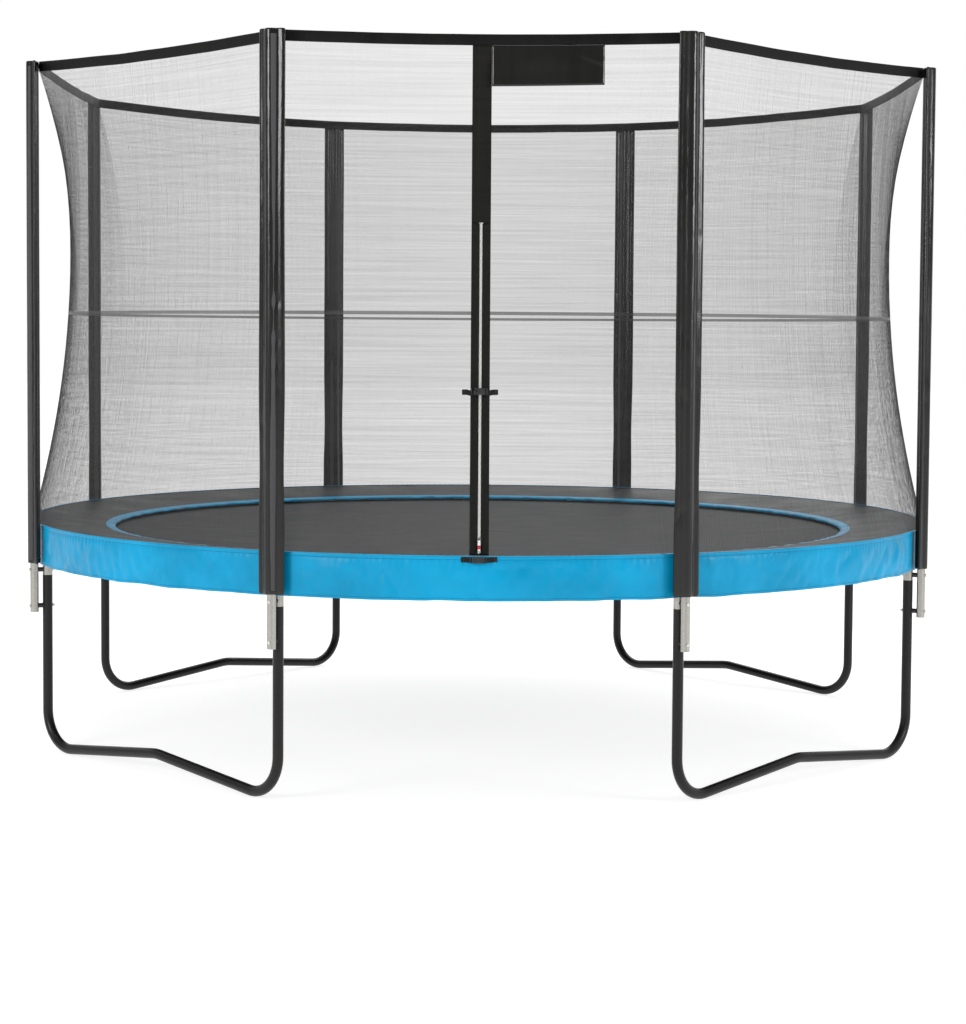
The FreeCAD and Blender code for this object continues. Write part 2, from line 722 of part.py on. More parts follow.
keep(
    "jump_mat",
    turned(
        "JumpMat",
        [
            ("0", "Fits.matHead - Sizes.matThickness"),
            ("Fits.matRadius", "Fits.matHead - Sizes.matThickness"),
            ("Fits.matRadius", "Fits.matHead"),
            ("0", "Fits.matHead"),
        ],
    ),
)
keep(
    "mat_webbing",
    turned(
        "MatWebbing",
        [
            ("Fits.matRadius - Sizes.webbingWidth", "Fits.matHead"),
            ("Fits.matRadius", "Fits.matHead"),
            ("Fits.matRadius", "Fits.matHead + Sizes.webbingThickness"),
            ("Fits.matRadius - Sizes.webbingWidth", "Fits.matHead + Sizes.webbingThickness"),
        ],
    ),
)

# A V-ring lies flat outside the mat's edge, its base against the webbing and its point to the spring.
vRingBody = doc.addObject("PartDesign::Body", "VRingMaster")
vRingSketch = newSketch(vRingBody, "XY_Plane", "VRingSketch",
                        height="Fits.matHead - Sizes.matThickness / 2 - Sizes.vRingWire / 2")
vRingFoot = "Fits.matRadius + Sizes.softFit"
vRingOuter = [
    (vRingFoot, "-Sizes.vRingWidth / 2"),
    ("Fits.vRingPoint", "-Sizes.vRingWire"),
    ("Fits.vRingPoint", "Sizes.vRingWire"),
    (vRingFoot, "Sizes.vRingWidth / 2"),
]
vRingInner = [
    (f"{vRingFoot} + Sizes.vRingWire", "-Sizes.vRingWidth / 2 + 1.8 * Sizes.vRingWire"),
    ("Fits.vRingPoint - Sizes.vRingWire", "-Sizes.vRingWire + 1.2"),
    ("Fits.vRingPoint - Sizes.vRingWire", "Sizes.vRingWire - 1.2"),
    (f"{vRingFoot} + Sizes.vRingWire", "Sizes.vRingWidth / 2 - 1.8 * Sizes.vRingWire"),
]
addOutline(vRingSketch, vRingOuter)
addOutline(vRingSketch, vRingInner)
vRingPad = vRingBody.newObject("PartDesign::Pad", "VRingPad")
vRingPad.Profile = vRingSketch
vRingPad.setExpression("Length", "Sizes.vRingWire")

# A spring is a coil with a straight wire at each end, turned down at its tip.
coilFoot = "Fits.ringInside - Sizes.hookReach - Sizes.springLength"
hookTip = "Fits.ringInside + Sizes.frameWall + Sizes.springWire"
innerTip = "Fits.vRingPoint - Sizes.vRingWire - Sizes.springWire / 2 - 0.5"
springMaster = fuse(
    "SpringMaster",
    cylinder("SpringCoil", "Sizes.springCoil / 2", "Sizes.springLength", turn=alongX,
             place_x=coilFoot, place_z="Sizes.ringHeight"),
    cylinder("SpringHook", "Sizes.springWire / 2", f"{hookTip} - ({innerTip})", turn=alongX,
             place_x=innerTip, place_z="Sizes.ringHeight"),
    cylinder("SpringTipIn", "Sizes.springWire / 2", "Sizes.hookDrop",
             place_x=innerTip, place_z="Sizes.ringHeight - Sizes.hookDrop"),
    cylinder("SpringTipOut", "Sizes.springWire / 2", "Sizes.hookDrop",
             place_x=hookTip, place_z="Sizes.ringHeight - Sizes.hookDrop"),
)

# ---------------------------------------------------------------- pad over the springs, its border and skirt

keep(
    "spring_pad",
    turned(
        "SpringPad",
        [
            ("Fits.padInside", "Fits.padInnerFoot"),
            ("Fits.ringInside - Sizes.hookReach - Sizes.springLength",
             "Sizes.ringHeight + Sizes.springCoil / 2 + Sizes.padRise"),
            ("Fits.ringInside", "Fits.padCrest"),
            ("Fits.padOutside", "Fits.padCrest"),
            ("Fits.padOutside", "Fits.padHead"),
            ("Fits.padInside", "Fits.padInnerHead"),
        ],
    ),
)
keep(
    "pad_border",
    turned(
        "PadBorder",
        [
            ("Fits.padInside - Sizes.borderWidth", "Fits.padInnerFoot - Sizes.borderDrop"),
            ("Fits.padInside", "Fits.padInnerFoot"),
            ("Fits.padInside", "Fits.padInnerHead"),
            ("Fits.padInside - Sizes.borderWidth", "Fits.padInnerHead - Sizes.borderDrop"),
        ],
    ),
)
flangeFoot = "Fits.padHead + Sizes.softFit"
skirtFlangeInside = "Fits.padOutside - Sizes.skirtFlange"
keep(
    "pad_skirt",
    turned(
        "PadSkirt",
        [
            ("Fits.skirtInside", "Fits.skirtFoot"),
            ("Fits.skirtOutside", "Fits.skirtFoot"),
            ("Fits.skirtOutside", f"{flangeFoot} + Sizes.skirtWall"),
            (skirtFlangeInside, f"{flangeFoot} + Sizes.skirtWall"),
            (skirtFlangeInside, flangeFoot),
            ("Fits.skirtInside", flangeFoot),
        ],
    ),
)

# ---------------------------------------------------------------- safety net and its hem

hemFoot = size("hemFoot")
netFoot = size("netFoot")
netHead = hemFoot - size("softFit")
netThickness = size("netThickness")
hemCornerRadius = size("sleeveInside") - 2 * size("softFit")
netHeadCorner = hemCornerRadius - size("softFit")
netHeadSide = netHeadCorner * math.cos(math.radians(sideAngle / 2)) + size("softFit")


def uprightArc(footRadius, waistRadius, headRadius):
    """The net's upright line as an arc of one circle: its centre (radius, height) and its own radius."""
    line = Part.Circle(
        Vector(footRadius, netFoot, 0),
        Vector(waistRadius, size("netWaistHeight"), 0),
        Vector(headRadius, netHead, 0),
    )
    return line.Center.x, line.Center.y, line.Radius


doorArc = uprightArc(size("netFootRadius"), size("doorWaistRadius"), netHeadSide)
cornerArc = uprightArc(size("netFootRadius"), size("netWaistRadius"), netHeadCorner)


def radiusAt(arc, height):
    centre, middle, radius = arc
    return centre - math.sqrt(radius ** 2 - (height - middle) ** 2)


def netSection(height, inset):
    """The closed outline of the net at a height: eight arcs from pole to pole."""
    cornerRadius = radiusAt(cornerArc, height) - inset
    sideRadius = radiusAt(doorArc, height) - inset
    arcs = []
    for azimuth in poleAzimuths:
        start = facing(azimuth, cornerRadius, height).Base
        middle = facing(azimuth + sideAngle / 2, sideRadius, height).Base
        end = facing(azimuth + sideAngle, cornerRadius, height).Base
        arcs.append(Part.Arc(start, middle, end).toShape())
    return Part.Wire(arcs)


def netWall(foot, head, inset, thickness, levels):
    """A closed band of net between two heights."""
    heights = [foot + (head - foot) * i / (levels - 1) for i in range(levels)]
    outside = Part.makeLoft([netSection(height, inset) for height in heights], True, False)
    innerHeights = [foot - 3] + heights[1:-1] + [head + 3]
    inside = Part.makeLoft([netSection(height, inset + thickness) for height in innerHeights], True, False)
    wall = outside.cut(inside)
    doorGap = Part.makeBox(size("netSlot"), size("netFootRadius"), head - foot + 2)
    doorGap.translate(Vector(-size("netSlot") / 2, -1.2 * size("netFootRadius"), foot - 1))
    return wall.cut(doorGap).Solids[0]


def netPiece(label, foot, head, inset, thickness, levels):
    piece = doc.addObject("Part::Feature", label)
    piece.Shape = netWall(foot, head, inset, thickness, levels)
    return keep(label, piece)


seamHalf = size("seamWidth") / 2
netPiece("safety_net_lower", netFoot, size("seamHeight") - seamHalf, 0, netThickness, 5)
netPiece("safety_net_upper", size("seamHeight") + seamHalf, netHead, 0, netThickness, 5)
netPiece("net_seam", size("seamHeight") - seamHalf + 0.1, size("seamHeight") + seamHalf - 0.1,
         0, netThickness, 3)

hemOutside = doc.addObject("Part::Prism", "HemOutside")
hemInside = doc.addObject("Part::Prism", "HemInside")
hemCorner = "(Fits.sleeveInside - 2 * Sizes.softFit)"
hemThickness = f"Sizes.hemThickness / cos({sideAngle / 2} deg)"
for prism, radius, extra in ((hemOutside, hemCorner, 0), (hemInside, f"{hemCorner} - {hemThickness}", 1)):
    prism.Polygon = legCount
    prism.Placement = Placement(Vector(), Rotation(Vector(0, 0, 1), sideAngle / 2))
    bind(prism, Circumradius=radius, Height=f"Sizes.hemHeight + {2 * extra}", place_z=f"Fits.hemFoot - {extra}")
keep("net_top_hem", cut("TopHem", hemOutside, hemInside))

# ---------------------------------------------------------------- door: band, zip, slider and pull
# The door's pieces follow the net's arc at azimuth 0. Its centre lies in front of the net, on an axis
# along X, and a depth is counted from the net's outer face towards that centre.

doorRadius = doorArc[2]
doorAxis = Vector(0, -doorArc[0], doorArc[1])


def doorAngle(height):
    return math.degrees(math.asin((height - doorArc[1]) / doorRadius))


def doorPlace(height):
    """Turn a piece modelled at the height of the arc's centre up or down along the arc."""
    turn = Rotation(Vector(1, 0, 0), doorAngle(height))
    return Placement(doorAxis, turn)


def doorPoint(depth, angle):
    """A point on the door's middle line, by its depth and its angle along the arc."""
    radius = doorRadius - depth
    turn = math.radians(angle)
    return doorAxis + Vector(0, radius * math.cos(turn), radius * math.sin(turn))


def doorStrip(halfWidth, depthBack, depthFront, foot, head):
    """A strip along the arc, between two depths and two heights."""
    low, high = doorAngle(foot), doorAngle(head)
    middle = (low + high) / 2
    back = Part.Arc(doorPoint(depthBack, low), doorPoint(depthBack, middle), doorPoint(depthBack, high))
    front = Part.Arc(doorPoint(depthFront, high), doorPoint(depthFront, middle), doorPoint(depthFront, low))
    ends = [
        Part.LineSegment(doorPoint(depthBack, high), doorPoint(depthFront, high)),
        Part.LineSegment(doorPoint(depthFront, low), doorPoint(depthBack, low)),
    ]
    outline = Part.Wire([back.toShape(), ends[0].toShape(), front.toShape(), ends[1].toShape()])
    outline.translate(Vector(-halfWidth, 0, 0))
    return Part.Face(outline).extrude(Vector(2 * halfWidth, 0, 0))


bandBack = size("softFit")
bandFront = bandBack + size("bandThickness")
bandSolid = doorStrip(size("bandWidth") / 2, bandBack, bandFront, netFoot, netHead)
slotSolid = doorStrip(size("zipSlot") / 2, bandBack - 1, bandFront + 1, netFoot - 5, size("zipHead"))
doorBand = doc.addObject("Part::Feature", "DoorBand")
doorBand.Shape = bandSolid.cut(slotSolid).Solids[0]
keep("door_band", doorBand)

zipBack = size("bandThickness") / 2 + bandBack - size("zipThickness") / 2
zipFront = zipBack + size("zipThickness")
zipChain = doc.addObject("Part::Feature", "ZipChain")
zipChain.Shape = doorStrip(size("zipWidth") / 2, zipBack, zipFront, size("zipFoot"),
                           size("zipHead") - size("softFit"))
keep("zip_chain", zipChain)

# A slider is modelled with +Y out of the door, +Z up along it, and its channel round the zip.
channelBack = zipBack - size("sliderFit")
channelFront = zipFront + size("sliderFit")
sliderBack = channelBack - size("sliderPlate")
sliderFront = channelFront + size("sliderPlate")
channelHalf = size("zipWidth") / 2 + size("sliderFit")
sliderHalf = channelHalf + size("sliderWall")
pinRadius = size("pullPin") / 2
barrelRadius = pinRadius + size("pullPinFit") + size("barrelWall")
pivotDepth = sliderFront + barrelRadius + size("barrelGap")
earThickness = size("earThickness")
earHalfHeight = size("earHeight") / 2
earReach = pivotDepth + pinRadius + size("earTip")


def depthBox(name, halfWidth, back, front, foot, head, across=0):
    """A box placed by depths out of the door and heights along it."""
    box = doc.addObject("Part::Box", name)
    box.Length = 2 * halfWidth
    box.Width = front - back
    box.Height = head - foot
    box.Placement = Placement(Vector(across - halfWidth, doorRadius - front, foot), Rotation())
    return box


halfSlider = size("sliderLength") / 2
earHalf = sliderHalf - earThickness / 2
slider = cut(
    "Slider",
    fuse(
        "SliderSolid",
        depthBox("SliderBody", sliderHalf, sliderBack, sliderFront, -halfSlider, halfSlider),
        depthBox("SliderEarLeft", earThickness / 2, sliderFront - 1, earReach,
                 -earHalfHeight, earHalfHeight, -earHalf),
        depthBox("SliderEarRight", earThickness / 2, sliderFront - 1, earReach,
                 -earHalfHeight, earHalfHeight, earHalf),
        cylinder("SliderPin", "Sizes.pullPin / 2", f"{2 * sliderHalf}", turn=alongX),
    ),
    depthBox("SliderChannel", channelHalf, channelBack, channelFront, -halfSlider - 1, halfSlider + 1),
)
doc.SliderPin.Placement = Placement(Vector(-sliderHalf, doorRadius - pivotDepth, 0), alongX)
slider.Placement = doorPlace(size("sliderRest"))
keep("zip_slider", slider)

barrelHalf = earHalf - earThickness / 2 - size("sliderFit")
pull = cut(
    "Pull",
    fuse(
        "PullSolid",
        cylinder("PullBarrel", f"{barrelRadius}", f"{2 * barrelHalf}", turn=alongX),
        depthBox("PullTab", size("pullWidth") / 2, pivotDepth - size("pullThickness") / 2,
                 pivotDepth + size("pullThickness") / 2, -size("pullLength"), 2 - size("pullNeck")),
        depthBox("PullNeck", barrelHalf - 1, pivotDepth - size("pullThickness") / 2,
                 pivotDepth + size("pullThickness") / 2, -size("pullNeck"), 0),
    ),
    cylinder("PullHole", "Sizes.pullPin / 2 + Sizes.pullPinFit", f"{2 * barrelHalf + 2}", turn=alongX),
)
doc.PullBarrel.Placement = Placement(Vector(-barrelHalf, doorRadius - pivotDepth, 0), alongX)
doc.PullHole.Placement = Placement(Vector(-barrelHalf - 1, doorRadius - pivotDepth, 0), alongX)
pull.Placement = doorPlace(size("sliderRest"))
keep("zip_pull", pull)

# ---------------------------------------------------------------- two side-release buckles across the door

# A buckle is modelled lying on XZ with its back face on Y = 0 and its front at -Y.
buckleHalf = size("buckleHeight") / 2
buckleDepth = size("buckleDepth")
socketRight = size("socketReach")
socketLeft = socketRight - size("socketLength")
tongueRim = socketRight + size("tongueGap")
strapSlotHalf = size("strapWidth") / 2 + size("softFit")


def frontBox(name, left, right, back, front, foot, head):
    box = doc.addObject("Part::Box", name)
    box.Length = right - left
    box.Width = front - back
    box.Height = head - foot
    box.Placement = Placement(Vector(left, -front, foot), Rotation())
    return box


def makeSocket(name):
    """The half with a pocket and two side windows that the prongs snap into."""
    shell = frontBox(name + "Shell", socketLeft, socketRight, 0, buckleDepth, -buckleHalf, buckleHalf)
    wall = size("socketWall")
    floor = socketLeft + size("socketFloor")
    cavity = frontBox(name + "Cavity", floor, socketRight + 1, wall, buckleDepth - wall,
                      -buckleHalf + wall, buckleHalf - wall)
    windows = frontBox(name + "Windows", floor + wall, floor + wall + size("windowLength"),
                       wall, buckleDepth - wall, -buckleHalf - 1, buckleHalf + 1)
    slotStart = socketLeft + size("slotInset")
    strapSlot = frontBox(name + "StrapSlot", slotStart, slotStart + size("slotLength"),
                         -1, buckleDepth + 1, -strapSlotHalf, strapSlotHalf)
    return cut(name, shell, cavity, windows, strapSlot)


def makeTongue(name):
    """The half with a guide and two prongs."""
    end = tongueRim + size("tongueLength")
    back = (buckleDepth - size("prongDepth")) / 2
    front = back + size("prongDepth")
    inset = size("prongInset")
    base = frontBox(name + "Base", tongueRim, end, 0, buckleDepth, -buckleHalf, buckleHalf)
    guide = frontBox(name + "Guide", tongueRim - size("guideLength"), tongueRim + 1, back, front,
                     -size("guideWidth") / 2, size("guideWidth") / 2)
    prongs = []
    for side, low in (("Low", -buckleHalf + inset), ("High", buckleHalf - inset - size("prongWidth"))):
        prong = frontBox(f"{name}Prong{side}", tongueRim - size("prongLength"), tongueRim + 1,
                         back, front, low, low + size("prongWidth"))
        prongs.append(prong)
    slotEnd = end - size("slotInset")
    strapSlot = frontBox(name + "StrapSlot", slotEnd - size("slotLength"), slotEnd,
                         -1, buckleDepth + 1, -strapSlotHalf, strapSlotHalf)
    return cut(name, fuse(name + "Solid", base, guide, *prongs), strapSlot)


def strapShape(left, right, standOff):
    """A strap that starts flat on the cloth at its outer end and rises to the buckle's slot."""
    thickness = size("strapThickness")
    outer = -size("strapReach")
    flat = outer + size("strapFoot")
    rise = (left, -standOff - buckleDepth / 2)
    line = [
        (outer, 0),
        (flat, 0),
        (rise[0], rise[1] + thickness / 2),
        (right, rise[1] + thickness / 2),
        (right, rise[1] - thickness / 2),
        (rise[0], rise[1] - thickness / 2),
        (flat - thickness / 2, -thickness),
        (outer, -thickness),
    ]
    points = [Vector(x, y, -size("strapWidth") / 2) for x, y in line]
    face = Part.Face(Part.makePolygon(points + points[:1]))
    return face.extrude(Vector(0, 0, size("strapWidth")))


highPlace = doorPlace(size("buckleHigh")).multiply(
    Placement(Vector(0, doorRadius, 0), Rotation())
)
lowPlace = Placement(Vector(0, -size("skirtOutside"), size("buckleLow")), Rotation())
strapRise = size("strapRise")
tongueEnd = tongueRim + size("tongueLength")
socketStraps = []
for level, place, standOff in (
    ("upper", highPlace, size("buckleStandOff")),
    ("lower", lowPlace, size("lowBuckleStandOff")),
):
    raised = place.multiply(Placement(Vector(0, -standOff, 0), Rotation()))
    socket = makeSocket(f"{level}Socket")
    socket.Placement = raised
    keep(f"{level}_buckle_socket", socket)
    tongue = makeTongue(f"{level}Tongue")
    tongue.Placement = raised
    keep(f"{level}_buckle_tongue", tongue)
    seat = place.multiply(Placement(Vector(0, -size("softFit"), 0), Rotation()))
    strap = strapShape(socketLeft - strapRise, socketLeft, standOff)
    strap.Placement = seat
    socketStraps.append(strap)
    mirrored = strapShape(-tongueEnd - strapRise, -tongueEnd, standOff).mirror(Vector(), Vector(1, 0, 0))
    mirrored.Placement = seat
    tongueStrap = doc.addObject("Part::Feature", f"{level}TongueStrap")
    tongueStrap.Shape = mirrored
    keep(f"{level}_tongue_strap", tongueStrap)
socketStrap = doc.addObject("Part::Feature", "SocketStraps")
socketStrap.Shape = Part.makeCompound(socketStraps)
keep("socket_straps", socketStrap)

# ---------------------------------------------------------------- blank patch beside the door, under the hem

patch = doc.addObject("Part::Box", "Patch")
patchFront = "Fits.sleeveInside - 2 * Sizes.softFit"
bind(
    patch,
    Length="Sizes.patchWidth",
    Width="Sizes.patchThickness",
    Height="Sizes.patchHeight",
    place_x="Sizes.bandWidth / 2 + Sizes.softFit",
    place_y=f"-({patchFront}) * cos({sideAngle / 2} deg) - Sizes.patchThickness - Sizes.softFit",
    place_z="Fits.hemFoot - Sizes.patchHeight - Sizes.softFit",
)
keep("label_patch", patch)

doc.recompute()

# ---------------------------------------------------------------- groups of identical pieces

copies("t_joints", jointMaster, [facing(a) for a in poleAzimuths])
copies("net_poles_lower", lowerPoleMaster, [facing(a) for a in poleAzimuths])
copies("net_poles_upper", upperPoleMaster, [facing(a) for a in poleAzimuths])
copies("pole_caps", poleCapMaster, [facing(a) for a in poleAzimuths])
copies("pole_foams", foamMaster, [facing(a) for a in poleAzimuths])
clampRise = size("clampHigh") - size("clampLow")
clampPlaces = [facing(a, 0, rise) for a in poleAzimuths for rise in (0, clampRise)]
copies("clamp_spacers", spacerMaster, clampPlaces)
copies("clamp_bolts", boltMaster, clampPlaces)
copies("clamp_nuts", nutMaster, clampPlaces)
copies("joint_screws", screwMaster, [facing(a + angle) for a in poleAzimuths for angle in screwAngles])
copies("springs", springMaster, [facing(a) for a in springAzimuths])
copies("v_rings", vRingBody, [facing(a) for a in springAzimuths])

# ---------------------------------------------------------------- checks and export

doc.recompute()
for item in doc.Objects:
    if "Invalid" in item.State or "Error" in item.State:
        raise RuntimeError(f"{item.Name} did not compute: {item.State}")
os.makedirs("parts", exist_ok=True)
for node in nodes:
    if node.Shape.isNull() or not node.Shape.isValid():
        raise RuntimeError(f"{node.Label} has no valid shape")
for node in nodes:
    node.Shape.exportStep(f"parts/{node.Label}.step")
print(len(nodes), "nodes;", "door arc centre", doorAxis, "radius", round(doorRadius, 2))
print("zip pull pivot", doorPlace(size("sliderRest")).multVec(Vector(0, doorRadius - pivotDepth, 0)))
print("zip travel", doorAngle(size("zipHead") - halfSlider - 2) - doorAngle(size("sliderRest")), "degrees")
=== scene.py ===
import math
import random

import bpy
from mathutils import Euler, Matrix, Vector, noise


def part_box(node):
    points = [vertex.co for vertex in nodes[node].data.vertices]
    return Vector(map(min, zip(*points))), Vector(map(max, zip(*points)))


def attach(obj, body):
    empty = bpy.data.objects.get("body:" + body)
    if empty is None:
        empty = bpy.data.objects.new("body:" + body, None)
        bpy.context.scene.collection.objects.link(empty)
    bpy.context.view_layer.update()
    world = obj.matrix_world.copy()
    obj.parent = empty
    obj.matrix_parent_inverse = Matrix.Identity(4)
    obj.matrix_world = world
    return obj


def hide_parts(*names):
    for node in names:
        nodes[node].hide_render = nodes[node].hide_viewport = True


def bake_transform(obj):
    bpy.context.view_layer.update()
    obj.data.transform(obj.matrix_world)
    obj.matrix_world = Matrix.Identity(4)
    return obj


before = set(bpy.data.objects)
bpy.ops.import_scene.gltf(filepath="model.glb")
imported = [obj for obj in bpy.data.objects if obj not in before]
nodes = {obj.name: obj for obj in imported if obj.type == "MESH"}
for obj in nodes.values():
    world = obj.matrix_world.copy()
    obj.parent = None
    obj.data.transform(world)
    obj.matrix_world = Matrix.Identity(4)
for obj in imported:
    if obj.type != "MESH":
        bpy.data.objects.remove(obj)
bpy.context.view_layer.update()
print("trampoline frame loaded:", len(nodes), "nodes")

poleAzimuths = [-22.5 + 45 * i for i in range(8)]

# ---- camera, stage and studio light

cameraView = {
    "place": (-0.021, -9.542, 1.632),
    "pitch": -3.172,
    "yaw": -0.239,
    "roll": 0.395,
    "lens": 80.34,
    "shiftY": -0.051,
}
studio = {
    "floorColour": (0.45, 0.45, 0.45),
    "floorGlow": 0.78,
    "worldColour": (1.0, 1.0, 1.0),
    # from and to: how far towards the back wall; then the room's and the wall's brightness
    "wallFade": (-0.25, 0.8, 0.3, 1.0),
    # name, place, size, watts
    "softBoxes": [
        ("keyLight", (-5.5, -6.5, 3.6), 2.4, 250),
        ("fillLight", (6.5, -5.0, 3.0), 2.0, 190),
        ("topLight", (0.0, 0.5, 8.5), 7.0, 380),
        ("backLight", (2.5, 7.0, 5.0), 4.0, 120),
    ],
}


def setCamera():
    data = bpy.data.cameras.new("studioCamera")
    data.lens = cameraView["lens"]
    data.sensor_width = 36
    data.shift_y = cameraView["shiftY"]
    data.clip_end = 200
    camera = bpy.data.objects.new("studioCamera", data)
    bpy.context.scene.collection.objects.link(camera)
    tilt = Euler((math.radians(90 + cameraView["pitch"]), 0, math.radians(cameraView["yaw"]))).to_matrix()
    camera.matrix_world = (
        Matrix.Translation(cameraView["place"])
        @ tilt.to_4x4()
        @ Matrix.Rotation(math.radians(cameraView["roll"]), 4, "Z")
    )
    bpy.context.scene.camera = camera


def setStudio():
    # a white back wall that fades to a grey room behind the camera
    world = bpy.data.worlds.new("studioWorld")
    world.use_nodes = True
    tree = world.node_tree
    background = tree.nodes["Background"]
    compass = tree.nodes.new("ShaderNodeTexCoord")
    split = tree.nodes.new("ShaderNodeSeparateXYZ")
    fade = tree.nodes.new("ShaderNodeMapRange")
    fade.interpolation_type = "SMOOTHSTEP"
    for socket, value in zip(("From Min", "From Max", "To Min", "To Max"), studio["wallFade"]):
        fade.inputs[socket].default_value = value
    tree.links.new(compass.outputs["Generated"], split.inputs["Vector"])
    tree.links.new(split.outputs["Y"], fade.inputs["Value"])
    tree.links.new(fade.outputs["Result"], background.inputs["Strength"])
    background.inputs["Color"].default_value = (*studio["worldColour"], 1)
    bpy.context.scene.world = world
    bpy.context.scene.view_settings.view_transform = "Standard"
    for name, spot, width, watts in studio["softBoxes"]:
        data = bpy.data.lights.new(name, "AREA")
        data.size = width
        data.energy = watts
        lamp = bpy.data.objects.new(name, data)
        lamp.location = spot
        lamp.rotation_euler = (Vector((0, 0, 1.2)) - Vector(spot)).to_track_quat("-Z", "Y").to_euler()
        bpy.context.scene.collection.objects.link(lamp)
    bpy.ops.mesh.primitive_plane_add(size=120)
    floor = bpy.context.object
    floor.name = "studio_floor"
    floor.data.materials.append(floorPaint())


# ---- materials


def newPaint(name, colour, roughness, metallic=0.0, **sockets):
    paint = bpy.data.materials.new(name)
    paint.use_nodes = True
    shader = paint.node_tree.nodes["Principled BSDF"]
    shader.inputs["Base Color"].default_value = (*colour, 1)
    shader.inputs["Roughness"].default_value = roughness
    shader.inputs["Metallic"].default_value = metallic
    for socket, value in sockets.items():
        shader.inputs[socket.replace("_", " ")].default_value = value
    return paint


def addNode(paint, kind, **values):
    node = paint.node_tree.nodes.new(kind)
    for key, value in values.items():
        if key in node.inputs.keys() or key.replace("_", " ") in node.inputs.keys():
            node.inputs[key.replace("_", " ")].default_value = value
        else:
            setattr(node, key, value)
    return node


def join(paint, start, output, end, socket):
    paint.node_tree.links.new(start.outputs[output], end.inputs[socket])


# a noise, wave or voronoi read on the object's own coordinates or on its UV map
def pattern(paint, kind, source="Object", stretch=(1, 1, 1), turn=(0, 0, 0), **values):
    coordinates = addNode(paint, "ShaderNodeTexCoord")
    mapping = addNode(paint, "ShaderNodeMapping")
    mapping.inputs["Scale"].default_value = stretch
    mapping.inputs["Rotation"].default_value = turn
    texture = addNode(paint, kind, **values)
    join(paint, coordinates, source, mapping, "Vector")
    join(paint, mapping, "Vector", texture, "Vector")
    return texture


def ramp(paint, texture, output, low, high, start=0.3, end=0.7):
    node = addNode(paint, "ShaderNodeMapRange")
    node.inputs["From Min"].default_value = start
    node.inputs["From Max"].default_value = end
    node.inputs["To Min"].default_value = low
    node.inputs["To Max"].default_value = high
    join(paint, texture, output, node, "Value")
    return node


def tint(paint, texture, output, dark, light, start=0.3, end=0.7):
    blendNode = addNode(paint, "ShaderNodeValToRGB")
    blendNode.color_ramp.elements[0].position = start
    blendNode.color_ramp.elements[1].position = end
    blendNode.color_ramp.elements[0].color = (*dark, 1)
    blendNode.color_ramp.elements[1].color = (*light, 1)
    join(paint, texture, output, blendNode, "Fac")
    join(paint, blendNode, "Color", paint.node_tree.nodes["Principled BSDF"], "Base Color")
    return blendNode


def roughen(paint, texture, output, low, high):
    join(paint, ramp(paint, texture, output, low, high), "Result",
         paint.node_tree.nodes["Principled BSDF"], "Roughness")


# bumps are stacked: each one takes the one before as its normal
def emboss(paint, texture, output, strength, distance):
    shader = paint.node_tree.nodes["Principled BSDF"]
    bump = addNode(paint, "ShaderNodeBump", Strength=strength, Distance=distance)
    join(paint, texture, output, bump, "Height")
    before = shader.inputs["Normal"].links
    if before:
        paint.node_tree.links.new(before[0].from_socket, bump.inputs["Normal"])
    join(paint, bump, "Normal", shader, "Normal")


def floorPaint():
    paint = newPaint("studioFloor", studio["floorColour"], 0.9)
    cloud = pattern(paint, "ShaderNodeTexNoise", Scale=0.4)
    tint(paint, cloud, "Fac", (0.44, 0.44, 0.44), (0.46, 0.46, 0.46))
    shader = paint.node_tree.nodes["Principled BSDF"]
    shader.inputs["Emission Color"].default_value = (1, 1, 1, 1)
    shader.inputs["Emission Strength"].default_value = studio["floorGlow"]
    return paint


def galvanisedSteel():
    paint = newPaint("galvanisedSteel", (0.6, 0.59, 0.56), 0.35, 1.0)
    spangle = pattern(paint, "ShaderNodeTexVoronoi", Scale=110.0)
    tint(paint, spangle, "Color", (0.38, 0.37, 0.34), (0.42, 0.41, 0.38), 0.1, 0.9)
    smear = pattern(paint, "ShaderNodeTexNoise", stretch=(30, 30, 4), Scale=3.0, Detail=4.0)
    roughen(paint, smear, "Fac", 0.24, 0.34)
    emboss(paint, smear, "Fac", 0.08, 0.0004)
    return paint


def powderCoat():
    paint = newPaint("blackPowderCoat", (0.007, 0.007, 0.007), 0.36, Specular_IOR_Level=0.3)
    cloud = pattern(paint, "ShaderNodeTexNoise", Scale=5.0, Detail=3.0)
    tint(paint, cloud, "Fac", (0.005, 0.005, 0.005), (0.01, 0.0098, 0.009))
    orangePeel = pattern(paint, "ShaderNodeTexNoise", Scale=480.0, Detail=2.0)
    roughen(paint, cloud, "Fac", 0.28, 0.42)
    emboss(paint, orangePeel, "Fac", 0.25, 0.0004)
    return paint


def zincPlate(name, light, dark, roughness):
    paint = newPaint(name, light, roughness, 1.0)
    cloud = pattern(paint, "ShaderNodeTexNoise", Scale=220.0, Detail=3.0)
    tint(paint, cloud, "Fac", dark, light)
    roughen(paint, cloud, "Fac", roughness - 0.08, roughness + 0.12)
    emboss(paint, cloud, "Fac", 0.12, 0.0003)
    return paint


def blackPlastic():
    paint = newPaint("blackPlastic", (0.018, 0.018, 0.019), 0.42)
    cloud = pattern(paint, "ShaderNodeTexNoise", Scale=60.0)
    tint(paint, cloud, "Fac", (0.014, 0.014, 0.015), (0.024, 0.024, 0.025))
    grain = pattern(paint, "ShaderNodeTexVoronoi", Scale=1400.0)
    emboss(paint, grain, "Distance", 0.3, 0.0002)
    roughen(paint, cloud, "Fac", 0.36, 0.5)
    return paint


